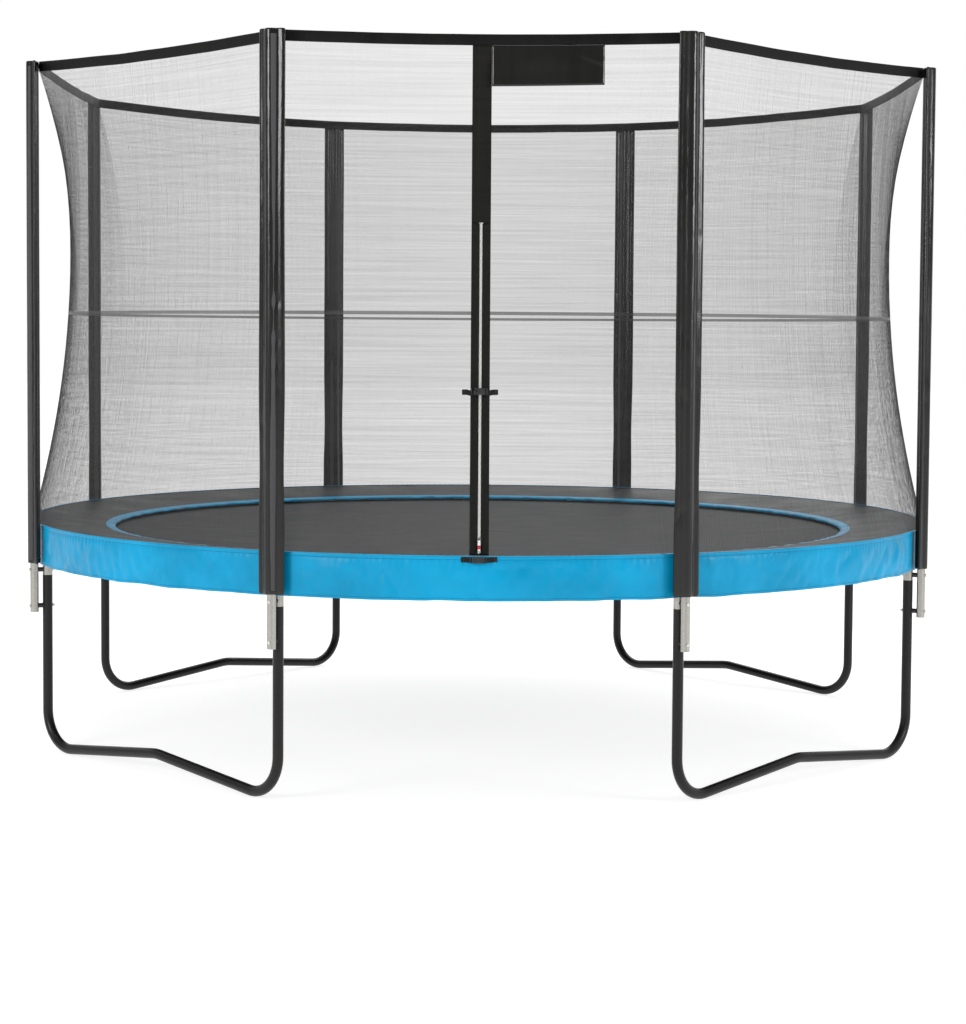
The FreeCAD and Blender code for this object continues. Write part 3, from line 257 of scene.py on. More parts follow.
def closedCellFoam():
    paint = newPaint("closedCellFoam", (0.05, 0.05, 0.055), 0.85)
    cells = pattern(paint, "ShaderNodeTexVoronoi", Scale=700.0)
    tint(paint, cells, "Distance", (0.03, 0.03, 0.034), (0.07, 0.07, 0.075), 0.1, 0.6)
    emboss(paint, cells, "Distance", 0.6, 0.0008)
    return paint


# coated fabric: a fine cloth grain under a glossy skin, with long soft creases
def coatedFabric(name, dark, light, smooth, rough, creaseStretch, grainScale=900.0, shine=0.5, relief=0.003):
    paint = newPaint(name, light, rough, Specular_IOR_Level=shine)
    cloud = pattern(paint, "ShaderNodeTexNoise", stretch=creaseStretch, Scale=2.2, Detail=4.0)
    tint(paint, cloud, "Fac", dark, light)
    roughen(paint, cloud, "Fac", smooth, rough)
    crease = pattern(paint, "ShaderNodeTexNoise", stretch=creaseStretch, Scale=9.0, Detail=5.0, Distortion=0.6)
    emboss(paint, crease, "Fac", 0.4, relief)
    grain = pattern(paint, "ShaderNodeTexVoronoi", Scale=grainScale)
    emboss(paint, grain, "Distance", 0.12, 0.0003)
    return paint


# flat yarns crossing over and under, on the UV map in metres
def wovenCloth(name, dark, light, rough, yarn, sheen=0.02):
    paint = newPaint(name, light, rough, Sheen_Weight=sheen, Sheen_Roughness=0.4, Specular_IOR_Level=0.15)
    warp = pattern(paint, "ShaderNodeTexWave", source="UV", Scale=1 / yarn / 6.28 * 3.14, bands_direction="X")
    weft = pattern(paint, "ShaderNodeTexWave", source="UV", Scale=1 / yarn / 6.28 * 3.14, bands_direction="Y")
    cross = addNode(paint, "ShaderNodeMath", operation="MULTIPLY")
    join(paint, warp, "Fac", cross, 0)
    join(paint, weft, "Fac", cross, 1)
    tint(paint, cross, "Value", dark, light, 0.05, 0.75)
    slub = pattern(paint, "ShaderNodeTexNoise", source="UV", stretch=(2, 30, 1), Scale=3.0, Detail=4.0)
    roughen(paint, slub, "Fac", rough - 0.1, rough + 0.1)
    emboss(paint, cross, "Value", 0.5, 0.0006)
    emboss(paint, slub, "Fac", 0.2, 0.003)
    return paint


netWeave = {"cover": 0.215, "threadPitch": 0.0032, "streak": 0.07}


# knitted polyester net: fine threads with open holes between them, and uneven rows across
def netFabric(name, cover):
    paint = newPaint(name, (0.035, 0.034, 0.034), 0.7, Sheen_Weight=0.1)
    rows = pattern(paint, "ShaderNodeTexNoise", source="UV", stretch=(1.1, 95, 1), Scale=1.0, Detail=3.0,
                   Roughness=0.7)
    tint(paint, rows, "Fac", (0.02, 0.02, 0.02), (0.06, 0.057, 0.056))
    threads = pattern(paint, "ShaderNodeTexWave", source="UV", Scale=0.5 / netWeave["threadPitch"],
                      bands_direction="Y")
    spread = netWeave["streak"]
    rowCover = ramp(paint, rows, "Fac", cover - spread, cover + spread, 0.32, 0.68)
    threadCover = ramp(paint, threads, "Fac", 0.75, 1.25, 0.0, 1.0)
    mixed = addNode(paint, "ShaderNodeMath", operation="MULTIPLY")
    join(paint, rowCover, "Result", mixed, 0)
    join(paint, threadCover, "Result", mixed, 1)
    join(paint, mixed, "Value", paint.node_tree.nodes["Principled BSDF"], "Alpha")
    return paint


galvanised = galvanisedSteel()
blackCoat = powderCoat()
brightZinc = zincPlate("brightZinc", (0.72, 0.72, 0.7), (0.5, 0.5, 0.49), 0.3)
springSteel = zincPlate("springSteel", (0.66, 0.66, 0.66), (0.42, 0.42, 0.43), 0.34)
mouldedBlack = blackPlastic()
darkFoam = closedCellFoam()
blackPvc = coatedFabric("blackPvc", (0.005, 0.005, 0.0045), (0.01, 0.0095, 0.009), 0.14, 0.28, (5, 5, 0.9),
    shine=0.42)
padPvc = coatedFabric("padPvc", (0.022, 0.024, 0.026), (0.036, 0.039, 0.042), 0.42, 0.58, (2.2, 2.2, 2.2),
    shine=0.2)
bluePvc = coatedFabric("bluePvc", (0.0, 0.25, 0.46), (0.0, 0.345, 0.63), 0.3, 0.44, (1.6, 1.6, 2.6),
    shine=0.2, relief=0.005)
matCloth = wovenCloth("matCloth", (0.014, 0.015, 0.017), (0.034, 0.036, 0.039), 0.6, 0.0022)
blackWebbing = wovenCloth("blackWebbing", (0.008, 0.008, 0.008), (0.028, 0.027, 0.026), 0.62, 0.0016)
hemPvc = coatedFabric("hemPvc", (0.004, 0.004, 0.004), (0.008, 0.008, 0.0075), 0.5, 0.62, (5, 5, 0.9),
    shine=0.15)
netMesh = netFabric("netMesh", netWeave["cover"])
netDouble = netFabric("netDouble", 0.78)
netThread = newPaint("netThread", (0.03, 0.029, 0.029), 0.7)
threadGrain = pattern(netThread, "ShaderNodeTexNoise", Scale=300.0)
tint(netThread, threadGrain, "Fac", (0.02, 0.02, 0.02), (0.045, 0.043, 0.042))
zipTeethPaint = newPaint("zipTeethPaint", (0.78, 0.78, 0.77), 0.3)
toothWear = pattern(zipTeethPaint, "ShaderNodeTexNoise", Scale=400.0)
tint(zipTeethPaint, toothWear, "Fac", (0.68, 0.68, 0.67), (0.84, 0.84, 0.83))
roughen(zipTeethPaint, toothWear, "Fac", 0.24, 0.42)
sliderPaint = zincPlate("sliderPaint", (0.5, 0.5, 0.5), (0.3, 0.3, 0.3), 0.3)
# stitches: short light threads in straight rows, on a UV map in metres; rows give their heights
def stitch(paint, rows, pitch, colour, width=0.0006, along="X"):
    shader = paint.node_tree.nodes["Principled BSDF"]
    cut = addNode(paint, "ShaderNodeTexCoord")
    split = addNode(paint, "ShaderNodeSeparateXYZ")
    join(paint, cut, "UV", split, "Vector")
    run = addNode(paint, "ShaderNodeMath", operation="WRAP")
    join(paint, split, along, run, 0)
    run.inputs[1].default_value = pitch
    run.inputs[2].default_value = 0
    onThread = addNode(paint, "ShaderNodeMath", operation="LESS_THAN")
    join(paint, run, "Value", onThread, 0)
    onThread.inputs[1].default_value = pitch * 0.68
    total = None
    for row in rows:
        near = addNode(paint, "ShaderNodeMath", operation="COMPARE")
        join(paint, split, "Y" if along == "X" else "X", near, 0)
        near.inputs[1].default_value = row
        near.inputs[2].default_value = width
        if total is None:
            total = near
        else:
            more = addNode(paint, "ShaderNodeMath", operation="MAXIMUM")
            join(paint, total, "Value", more, 0)
            join(paint, near, "Value", more, 1)
            total = more
    both = addNode(paint, "ShaderNodeMath", operation="MULTIPLY")
    join(paint, total, "Value", both, 0)
    join(paint, onThread, "Value", both, 1)
    mix = addNode(paint, "ShaderNodeMix", data_type="RGBA")
    join(paint, both, "Value", mix, 0)
    before = shader.inputs["Base Color"].links[0].from_socket
    paint.node_tree.links.new(before, mix.inputs[6])
    mix.inputs[7].default_value = (*colour, 1)
    paint.node_tree.links.new(mix.outputs[2], shader.inputs["Base Color"])
    emboss(paint, both, "Value", 0.6, 0.0008)
    return paint


bandTape = stitch(wovenCloth("bandTape", (0.004, 0.004, 0.003), (0.014, 0.013, 0.012), 0.6, 0.0012),
                  (0.0028, 0.0232), 0.0034, (0.03, 0.03, 0.03), 0.0004, "Y")
zipTape = wovenCloth("zipTape", (0.006, 0.006, 0.006), (0.02, 0.02, 0.02), 0.65, 0.001)
strapTape = stitch(wovenCloth("strapTape", (0.008, 0.008, 0.008), (0.03, 0.029, 0.028), 0.6, 0.0014),
                   (0.003, 0.009), 0.003, (0.07, 0.07, 0.07), 0.0005)
edgeWebbing = stitch(wovenCloth("edgeWebbing", (0.012, 0.012, 0.012), (0.035, 0.034, 0.033), 0.62, 0.0016),
                     (0.008, 0.018, 0.032, 0.042), 0.004, (0.11, 0.11, 0.11))
blueTrim = stitch(coatedFabric("blueTrim", (0.0, 0.18, 0.34), (0.0, 0.28, 0.5), 0.3, 0.45, (5, 5, 5),
    shine=0.16),
                  (0.006, 0.084), 0.005, (0.01, 0.4, 0.72))
stitch(bluePvc, (0.1575, 0.008), 0.005, (0.0, 0.1, 0.22), 0.001)


# the pull is red with a white rim
def pullPlastic():
    paint = newPaint("pullPlastic", (0.6, 0.02, 0.02), 0.3)
    split = addNode(paint, "ShaderNodeSeparateXYZ")
    spot = addNode(paint, "ShaderNodeTexCoord")
    join(paint, spot, "Object", split, "Vector")
    tall = addNode(paint, "ShaderNodeMath", operation="COMPARE")
    join(paint, split, "Z", tall, 0)
    tall.inputs[1].default_value = 0.907
    tall.inputs[2].default_value = 0.0065
    tint(paint, tall, "Value", (0.85, 0.85, 0.85), (0.6, 0.015, 0.02), 0.4, 0.6)
    wear = pattern(paint, "ShaderNodeTexNoise", Scale=300.0)
    roughen(paint, wear, "Fac", 0.24, 0.4)
    return paint


pullPaint = pullPlastic()
print("materials made")

setCamera()
setStudio()


# ---- tools for modelling


def deselect():
    if bpy.context.mode != "OBJECT":
        bpy.ops.object.mode_set(mode="OBJECT")
    bpy.ops.object.select_all(action="DESELECT")


def pick(piece):
    deselect()
    piece.select_set(True)
    bpy.context.view_layer.objects.active = piece


def applyAll(piece):
    pick(piece)
    for modifier in list(piece.modifiers):
        bpy.ops.object.modifier_apply(modifier=modifier.name)
    bpy.ops.object.transform_apply(location=True, rotation=True, scale=True)
    return piece


def subdivide(piece, levels=1):
    smooth = piece.modifiers.new("smooth", "SUBSURF")
    smooth.levels = levels
    smooth.render_levels = levels
    return applyAll(piece)


def bevelEdges(piece, width, segments=2, angle=30):
    bevel = piece.modifiers.new("bevel", "BEVEL")
    bevel.width = width
    bevel.segments = segments
    bevel.limit_method = "ANGLE"
    bevel.angle_limit = math.radians(angle)
    applyAll(piece)
    bpy.ops.object.shade_smooth_by_angle(angle=math.radians(40))
    return piece


def thicken(piece, depth, offset=-1):
    wall = piece.modifiers.new("wall", "SOLIDIFY")
    wall.thickness = depth
    wall.offset = offset
    return applyAll(piece)


# a cloth grid: rows run up, columns run along; its UV map is in metres
def clothGrid(name, rows, columns, pointAt, width, height, paint, wrap=False, close=False):
    across = columns if wrap else columns + 1
    points = [pointAt(i / rows, j / columns) for i in range(rows if close else rows + 1) for j in range(across)]
    ringCount = rows if close else rows + 1
    faces = []
    corners = []
    for i in range(rows):
        for j in range(columns):
            up = (i + 1) % ringCount
            right = (j + 1) % across if wrap else j + 1
            faces.append((i * across + j, i * across + right, up * across + right, up * across + j))
            corners += [(j, i), (j + 1, i), (j + 1, i + 1), (j, i + 1)]
    mesh = bpy.data.meshes.new(name)
    mesh.from_pydata([tuple(p) for p in points], [], faces)
    layer = mesh.uv_layers.new(name="cut")
    layer.data.foreach_set("uv", [n for j, i in corners for n in (j / columns * width, i / rows * height)])
    mesh.materials.append(paint)
    piece = bpy.data.objects.new(name, mesh)
    bpy.context.scene.collection.objects.link(piece)
    pick(piece)
    bpy.ops.object.shade_smooth()
    return piece


def joinPieces(name, pieces):
    deselect()
    for piece in pieces:
        piece.select_set(True)
    bpy.context.view_layer.objects.active = pieces[0]
    bpy.ops.object.join()
    whole = bpy.context.object
    whole.name = name
    return whole


def copyTo(piece, name, matrix):
    mesh = piece.data.copy()
    mesh.transform(matrix)
    twin = bpy.data.objects.new(name, mesh)
    bpy.context.scene.collection.objects.link(twin)
    return twin


def remove(piece):
    bpy.data.objects.remove(piece)


# the turn that carries a piece modelled at the door, on -Y, to an azimuth
def turnTo(azimuth):
    return Matrix.Rotation(math.radians(azimuth), 4, "Z")


def direction(azimuth):
    turn = math.radians(azimuth)
    return Vector((math.sin(turn), -math.cos(turn), 0))


def place(azimuth, radius, height):
    return direction(azimuth) * radius + Vector((0, 0, height))


def ease(x):
    x = min(max(x, 0), 1)
    return x * x * (3 - 2 * x)


def waver(a, b, c, scale):
    return noise.noise(Vector((a * scale, b * scale, c * scale)))


# a round wire along points, as a mesh
def wire(name, points, radius, paint, closed=False, sides=1, resolution=4):
    curve = bpy.data.curves.new(name, "CURVE")
    curve.dimensions = "3D"
    curve.bevel_depth = radius
    curve.bevel_resolution = sides
    curve.use_fill_caps = True
    curve.resolution_u = resolution
    spline = curve.splines.new("NURBS")
    spline.points.add(len(points) - 1)
    for dot, point in zip(spline.points, points):
        dot.co = (*point, 1)
    spline.order_u = 3
    spline.use_cyclic_u = closed
    spline.use_endpoint_u = not closed
    piece = bpy.data.objects.new(name, curve)
    bpy.context.scene.collection.objects.link(piece)
    pick(piece)
    bpy.ops.object.convert(target="MESH")
    piece = bpy.context.object
    piece.data.materials.clear()
    piece.data.materials.append(paint)
    bpy.ops.object.shade_smooth()
    return piece


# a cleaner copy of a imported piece: merged, with its edges rounded
def refined(node, name, paint, width):
    mesh = nodes[node].data.copy()
    mesh.materials.clear()
    mesh.materials.append(paint)
    piece = bpy.data.objects.new(name, mesh)
    bpy.context.scene.collection.objects.link(piece)
    pick(piece)
    bpy.ops.object.mode_set(mode="EDIT")
    bpy.ops.mesh.select_all(action="SELECT")
    bpy.ops.mesh.remove_doubles(threshold=0.00002)
    bpy.ops.mesh.dissolve_limited(angle_limit=math.radians(4))
    bpy.ops.object.mode_set(mode="OBJECT")
    return bevelEdges(piece, width)


# ---- safety net: two sewn rows, from pole to pole

net = {
    "foot": 0.879,
    "head": 2.6217,
    "seam": 1.7,
    "seamHeight": 0.012,
    "footRadius": 1.828,
    "waistHeight": 1.75,
    "cornerWaist": 1.69,
    "doorWaist": 1.682,
    "cornerHead": 1.8361,
    "sideHead": 1.6966,
    "doorGap": 0.022,
    "ripple": 0.0022,
    "sag": 0.012,
    "threadSpacing": 0.0037,
    "threadDepth": (0.0003, 0.00056),
    "columns": 416,
}


# centre and radius of the circle through three points of an upright line
def uprightArc(foot, waist, head):
    (x1, y1), (x2, y2), (x3, y3) = foot, waist, head
    d = 2 * (x1 * (y2 - y3) + x2 * (y3 - y1) + x3 * (y1 - y2))
    s1, s2, s3 = x1 * x1 + y1 * y1, x2 * x2 + y2 * y2, x3 * x3 + y3 * y3
    across = (s1 * (y2 - y3) + s2 * (y3 - y1) + s3 * (y1 - y2)) / d
    up = (s1 * (x3 - x2) + s2 * (x1 - x3) + s3 * (x2 - x1)) / d
    return across, up, math.hypot(x1 - across, y1 - up)


cornerArc = uprightArc((net["footRadius"], net["foot"]), (net["cornerWaist"], net["waistHeight"]),
                       (net["cornerHead"], net["head"]))
doorArc = uprightArc((net["footRadius"], net["foot"]), (net["doorWaist"], net["waistHeight"]),
                     (net["sideHead"], net["head"]))


def arcRadius(arc, height):
    return arc[0] - math.sqrt(arc[2] ** 2 - (height - arc[1]) ** 2)


# degrees from the middle of the nearest side, and the share of the way from there to a pole
def sideAngle(azimuth):
    return (azimuth + 22.5) % 45 - 22.5


def netRadius(azimuth, height):
    corner = arcRadius(cornerArc, height)
    middle = arcRadius(doorArc, height)
    chord = corner * math.cos(math.radians(22.5))
    half = corner * math.sin(math.radians(22.5))
    rise = middle - chord
    tangent = math.tan(math.radians(sideAngle(azimuth)))
    k = rise * (tangent / half) ** 2
    out = middle if abs(k) < 1e-7 else (-1 + math.sqrt(1 + 4 * k * middle)) / (2 * k)
    return out / math.cos(math.radians(sideAngle(azimuth)))


# the net hangs a little lower between two poles, near its top
def sagAt(azimuth, height):
    across = sideAngle(azimuth) / 22.5
    return net["sag"] * (1 - across * across) * ease((height - 2.15) / 0.45)


def netPoint(azimuth, height, inset=0.0):
    radius = netRadius(azimuth, height) - inset
    point = place(azimuth, radius, height)
    fromDoor = abs(point.x) if point.y < 0 else 1
    free = ease((fromDoor - 0.08) / 0.3) * ease((height - 0.92) / 0.6) * ease((2.44 - height) / 0.2)
    free *= 0.25 + 0.75 * ease(abs(height - net["seam"]) / 0.15)
    free *= 0.15 + 0.85 * ease((22.5 - abs(sideAngle(azimuth))) / 9)
    drift = net["ripple"] * free * (waver(azimuth * 0.07, height * 0.6, 3.1, 1.4)
                                    + waver(azimuth * 0.4, height * 2.0, 7.7, 1.5) * 0.08)
    return place(azimuth, radius - abs(drift), height - sagAt(azimuth, height))


def netAzimuths():
    edge = math.degrees(math.asin(net["doorGap"] / net["doorWaist"]))
    return edge, 360 - edge


def makeNetRow(name, foot, head, paint, rows, withThreads):
    first, last = netAzimuths()
    width = 2 * math.pi * 1.72
    row = clothGrid(name, rows, net["columns"], lambda v, u: netPoint(first + (last - first) * u, foot + (head - foot) * v),
                    width, head - foot, paint)
    if not withThreads:
        return row
    # upright threads stand a little way in from the cloth, unevenly spaced as knitted ones are
    count = int(width / net["threadSpacing"])
    steps = 12
    points = []
    faces = []
    chance = random.Random(rows)
    for i in range(1, count):
        azimuth = first + (last - first) * (i + chance.uniform(-0.4, 0.4)) / count
        depth = chance.uniform(*net["threadDepth"])
        start = len(points)
        for k in range(steps + 1):
            height = foot + (head - foot) * k / steps
            points += [netPoint(azimuth, height, 0.0001), netPoint(azimuth, height, depth)]
        faces += [(start + 2 * k, start + 2 * k + 1, start + 2 * k + 3, start + 2 * k + 2) for k in range(steps)]
    mesh = bpy.data.meshes.new(name + "Threads")
    mesh.from_pydata([tuple(p) for p in points], [], faces)
    mesh.uv_layers.new(name="cut")
    mesh.materials.append(netThread)
    threads = bpy.data.objects.new(name + "Threads", mesh)
    bpy.context.scene.collection.objects.link(threads)
    return joinPieces(name, [row, threads])


halfSeam = net["seamHeight"] / 2
lowerNet = makeNetRow("net_lower_row", net["foot"], net["seam"] - halfSeam, netMesh, 36, True)
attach(lowerNet, "frame")
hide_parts("safety_net_lower")
upperNet = makeNetRow("net_upper_row", net["seam"] + halfSeam, net["head"] + 0.002, netMesh, 40, True)
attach(upperNet, "frame")
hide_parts("safety_net_upper")
seamTape = makeNetRow("net_seam_fold", net["seam"] - halfSeam, net["seam"] + halfSeam, netDouble, 2, False)
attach(seamTape, "frame")
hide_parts("net_seam")
print("net made")

# ---- top hem: a black sleeve sewn along the net's top, from pole to pole

hem = {"foot": 2.622, "head": 2.66, "corner": 1.8364, "thickness": 0.003, "flutter": 0.0015}


def hemPoint(v, u, outward):
    azimuth = 360 * u
    height = hem["foot"] + (hem["head"] - hem["foot"]) * v
    flat = hem["corner"] * math.cos(math.radians(22.5)) / math.cos(math.radians(sideAngle(azimuth)))
    near = 1 - ease((abs(sideAngle(azimuth)) - 20) / 2.4)
    belly = math.sin(math.pi * v) * 0.0014 + hem["flutter"] * waver(azimuth * 0.3, v * 1.3, 5.2, 1.0) * near
    return place(azimuth, flat + (belly if outward else -hem["thickness"] - belly * 0.3),
                 height - sagAt(azimuth, height) + 0.0015 * waver(azimuth * 0.17, 2.0, 9.0, 1.0) * near)


def hemLoop(v, u):
    # up the outside, over the top and down the inside
    turn = v * 2
    return hemPoint(turn, u, True) if turn <= 1 else hemPoint(2 - turn, u, False)


topHem = clothGrid("net_hem", 20, 320, hemLoop, 11.3, 0.08, hemPvc, wrap=True)
pick(topHem)
bpy.ops.object.mode_set(mode="EDIT")
bpy.ops.mesh.select_all(action="SELECT")
bpy.ops.mesh.normals_make_consistent(inside=False)
bpy.ops.object.mode_set(mode="OBJECT")
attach(topHem, "frame")
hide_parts("net_top_hem")

# a blank patch sewn on beside the door, under the hem
patch = {"left": 0.0333, "right": 0.4173, "foot": 2.4837, "head": 2.6235, "front": -1.6984, "bulge": 0.002}


def patchPoint(v, u):
    x = patch["left"] + (patch["right"] - patch["left"]) * u
    z = patch["foot"] + (patch["head"] - patch["foot"]) * v
    azimuth = math.degrees(math.atan2(x, -patch["front"]))
    edge = math.sin(math.pi * u) * math.sin(math.pi * v)
    pull = patch["bulge"] * edge * (0.6 + 1.6 * waver(x * 6, z * 9, 1.3, 1.0))
    crease = 0.0016 * ease(1 - abs(u * 1.1 + v - 1.65) / 0.12) * u
    return Vector((x, patch["front"] - pull - crease, z - sagAt(azimuth, z) + 0.004 * (1 - v) * (u - 0.5)))


blankPatch = clothGrid("blank_patch", 18, 44, patchPoint, 0.384, 0.138, blackPvc)
thicken(blankPatch, 0.0012)
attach(blankPatch, "frame")
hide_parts("label_patch")
print("hem and patch made")

# ---- padded covers on the net poles

cover = {
    "foot": 0.73,
    "head": 2.66,
    "radius": 1.862,
    "foam": 0.0246,
    "halfWidth": 0.0495,
    "flap": 0.0085,
    "rings": 92,
    "around": 36,
    "creases": 7,
}


# half depth of the cover's section, a share across from -1 to 1, at a height
def coverDepth(share, height, seed):
    across = share * cover["halfWidth"]
    shift = 0.004 * waver(height * 1.1, seed, 0.3, 1.0) - 0.003
    core = cover["foam"] ** 2 - (across - shift) ** 2
    core = math.sqrt(core) if core > 0 else 0
    flap = cover["flap"] * (1 + 0.35 * waver(height * 2.3, seed * 1.7, share, 1.0))
    flap *= max(0, 1 - share ** 6) ** 0.5
    return (core ** 4 + flap ** 4) ** 0.25


def coverCrease(share, side, height, seed):
    depth = 0
    for k in range(cover["creases"]):
        level = 0.85 + 1.7 * (0.5 + 0.5 * noise.noise(Vector((seed * 3.7, k * 5.3, 0.4)))) ** 1.6
        tilt = 3.0 * noise.noise(Vector((seed, k * 2.9, 1.7)))
        line = level + tilt * 0.05 * (share - 0.2 * side)
        depth += 0.0028 * math.exp(-((height - line) / 0.011) ** 2) * (0.4 + 0.6 * math.cos(share * 2 + k))
    long = math.exp(-((share - 0.5 - 0.12 * waver(height * 1.5, seed, 4.0, 1.0)) / 0.1) ** 2)
    long += math.exp(-((share + 0.58 + 0.1 * waver(height * 1.2, seed, 8.0, 1.0)) / 0.1) ** 2)
    return depth + 0.0018 * long


def makeCover(number, azimuth):
    seed = number * 1.37
    around = cover["around"]
    rings = cover["rings"]
    points = []

    def ring(height, shrink, lift=0.0):
        for j in range(around):
            turn = 2 * math.pi * j / around
            share = math.sin(turn) * (1 - 0.02 * abs(math.cos(turn)))
            side = 1 if math.cos(turn) >= 0 else -1
            wide = 1 + 0.05 * waver(height * 1.7, seed, 2.2, 1.0) - 0.07 * ease((1.45 - height) / 0.3) * ease(
                (height - 0.95) / 0.2)
            wide = min(wide, 1.02)
            deep = coverDepth(share, height, seed) - coverCrease(share, side, height, seed)
            floorDepth = 0.0242 if abs(share * cover["halfWidth"]) < 0.012 else 0.006
            deep = max(deep, min(floorDepth, coverDepth(share, height, seed)))
            across = share * cover["halfWidth"] * wide * shrink
            out = side * deep * shrink
            base = place(azimuth, cover["radius"] + out, height + lift)
            tangent = Vector((math.cos(math.radians(azimuth)), math.sin(math.radians(azimuth)), 0))
            points.append(base + tangent * across)

    levels = [cover["foot"] + (cover["head"] - 0.004 - cover["foot"]) * i / rings for i in range(rings + 1)]
    ring(cover["foot"] + 0.02, 0.9)
    ring(cover["foot"] + 0.002, 0.93)
    for height in levels:
        ring(height, 1.0)
    ring(cover["head"], 0.955)
    ring(cover["head"] - 0.0005, 0.5)
    count = len(points) // around
    faces = []
    for i in range(count - 1):
        for j in range(around):
            k = (j + 1) % around
            faces.append((i * around + j, i * around + k, (i + 1) * around + k, (i + 1) * around + j))
    faces.append(tuple(reversed(range(around))))
    faces.append(tuple(range((count - 1) * around, count * around)))
    mesh = bpy.data.meshes.new(f"pole_cover_{number}")
    mesh.from_pydata([tuple(p) for p in points], [], faces)
    mesh.materials.append(blackPvc)
    piece = bpy.data.objects.new(f"pole_cover_{number}", mesh)
    bpy.context.scene.collection.objects.link(piece)
    pick(piece)
    bpy.ops.object.mode_set(mode="EDIT")
    bpy.ops.mesh.select_all(action="SELECT")
    bpy.ops.mesh.normals_make_consistent(inside=False)
    bpy.ops.object.mode_set(mode="OBJECT")
    subdivide(piece)
    bpy.ops.object.shade_smooth()
    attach(piece, "frame")
    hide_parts(f"pole_sleeve_{number}")


for number, azimuth in enumerate(poleAzimuths, start=1):
    makeCover(number, azimuth)
print("pole covers made")


# ---- door: band, zip, slider, pull, buckles and straps

door = {
    "halfWidth": 0.033,
    "slotHalf": 0.0069,
    "slotHead": 2.01,
    "back": 0.0003,
    "thickness": 0.002,
}


# a point of the door: x across, depth out from the net's face, and a height along it
def doorPoint(x, depth, height):
    slope = (height - doorArc[1]) / math.sqrt(doorArc[2] ** 2 - (height - doorArc[1]) ** 2)
    outward = Vector((0, -1, slope)).normalized()
    radius = arcRadius(doorArc, height)
    sagging = sagAt(0, height)
    return Vector((x, -radius, height - sagging)) + outward * depth


def bandStrip(name, left, right, foot, head, rows, columns):
    strip = clothGrid(
        name, rows, columns,
        lambda v, u: doorPoint(left + (right - left) * u,
                               door["back"] + 0.0002 * waver(left * 40 + u, (foot + (head - foot) * v) * 6,
                               2.0, 1.0)
                               + 0.0002,
                               foot + (head - foot) * v),
        right - left, head - foot, bandTape)
    thicken(strip, door["thickness"] - 0.0004, 1)
    return strip


doorBand = joinPieces("door_tape", [
    bandStrip("bandLeft", -door["halfWidth"], -door["slotHalf"], 0.8795, door["slotHead"], 90, 4),
    bandStrip("bandRight", door["slotHalf"], door["halfWidth"], 0.8795, door["slotHead"], 90, 4),
    bandStrip("bandHead", -door["halfWidth"], door["halfWidth"], door["slotHead"], 2.6235, 50, 10),
])
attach(doorBand, "frame")
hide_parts("door_band")

zipper = {"foot": 0.888, "head": 2.008, "pitch": 0.004, "tooth": (0.005, 0.0019, 0.0025),
    "toothAcross": 0.0022, "tapeHalf": 0.014}


def onDoorArc(piece):
    for vertex in piece.data.vertices:
        x, y, z = vertex.co
        vertex.co = doorPoint(x, -y, z)
    piece.data.update()
    return piece


def makeZip():
    count = int((zipper["head"] - zipper["foot"]) / zipper["pitch"])
    rows = []
    for side in (-1, 1):
        deselect()
        wide, deep, tall = zipper["tooth"]
        lift = zipper["pitch"] / 2 if side > 0 else 0
        bpy.ops.mesh.primitive_cube_add(size=1,
            location=(side * zipper["toothAcross"], -0.0014, zipper["foot"] + lift))
        tooth = bpy.context.object
        tooth.scale = (wide, deep, tall)
        bpy.ops.object.transform_apply(location=True, rotation=True, scale=True)
        tooth.data.materials.append(zipTeethPaint)
        bevelEdges(tooth, 0.0004, 1)
        rowOfTeeth = tooth.modifiers.new("rowOfTeeth", "ARRAY")
        rowOfTeeth.use_relative_offset = False
        rowOfTeeth.use_constant_offset = True
        rowOfTeeth.constant_offset_displace = (0, 0, zipper["pitch"])
        rowOfTeeth.count = count
        applyAll(tooth)
        rows.append(onDoorArc(tooth))
    for side in (-1, 1):
        tape = clothGrid(f"zipTape{side}", 80, 2,
                         lambda v, u: doorPoint(side * (0.0006 + (zipper["tapeHalf"] - 0.0006) * u), 0.0,
                                                0.8795 + (zipper["head"] - 0.8795) * v),
                         zipper["tapeHalf"], zipper["head"] - zipper["foot"], zipTape)
        thicken(tape, 0.0005, 0)
        rows.append(tape)
    return joinPieces("zip_teeth", rows)


zipTeeth = makeZip()
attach(zipTeeth, "frame")
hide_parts("zip_chain")

slider = refined("zip_slider", "zip_slider_body", sliderPaint, 0.0004)
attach(slider, "slider")
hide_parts("zip_slider")
pull = refined("zip_pull", "zip_pull_tab", pullPaint, 0.0005)
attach(pull, "pull")
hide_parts("zip_pull")
print("door band and zip made")

buckle = {"edge": 0.0007, "ribs": 5, "ribWidth": 0.0011, "ribPitch": 0.0028}


def makeBuckle(node, name, body, front, ribsAt):
    parts = [refined(node, name, mouldedBlack, buckle["edge"])]
    low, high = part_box(node)
    for i in range(buckle["ribs"]):
        deselect()
        x = ribsAt + (i - (buckle["ribs"] - 1) / 2) * buckle["ribPitch"]
        bpy.ops.mesh.primitive_cube_add(size=1, location=(x, 0, 0))
        rib = bpy.context.object
        rib.scale = (buckle["ribWidth"], 0.0012, (high.z - low.z) * 0.55)
        bpy.ops.object.transform_apply(location=True, rotation=True, scale=True)
        rib.data.transform(front)
        rib.data.materials.append(mouldedBlack)
        bevelEdges(rib, 0.0004, 2)
        parts.append(rib)
    whole = joinPieces(name, parts)
    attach(whole, body)
    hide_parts(node)
    return whole


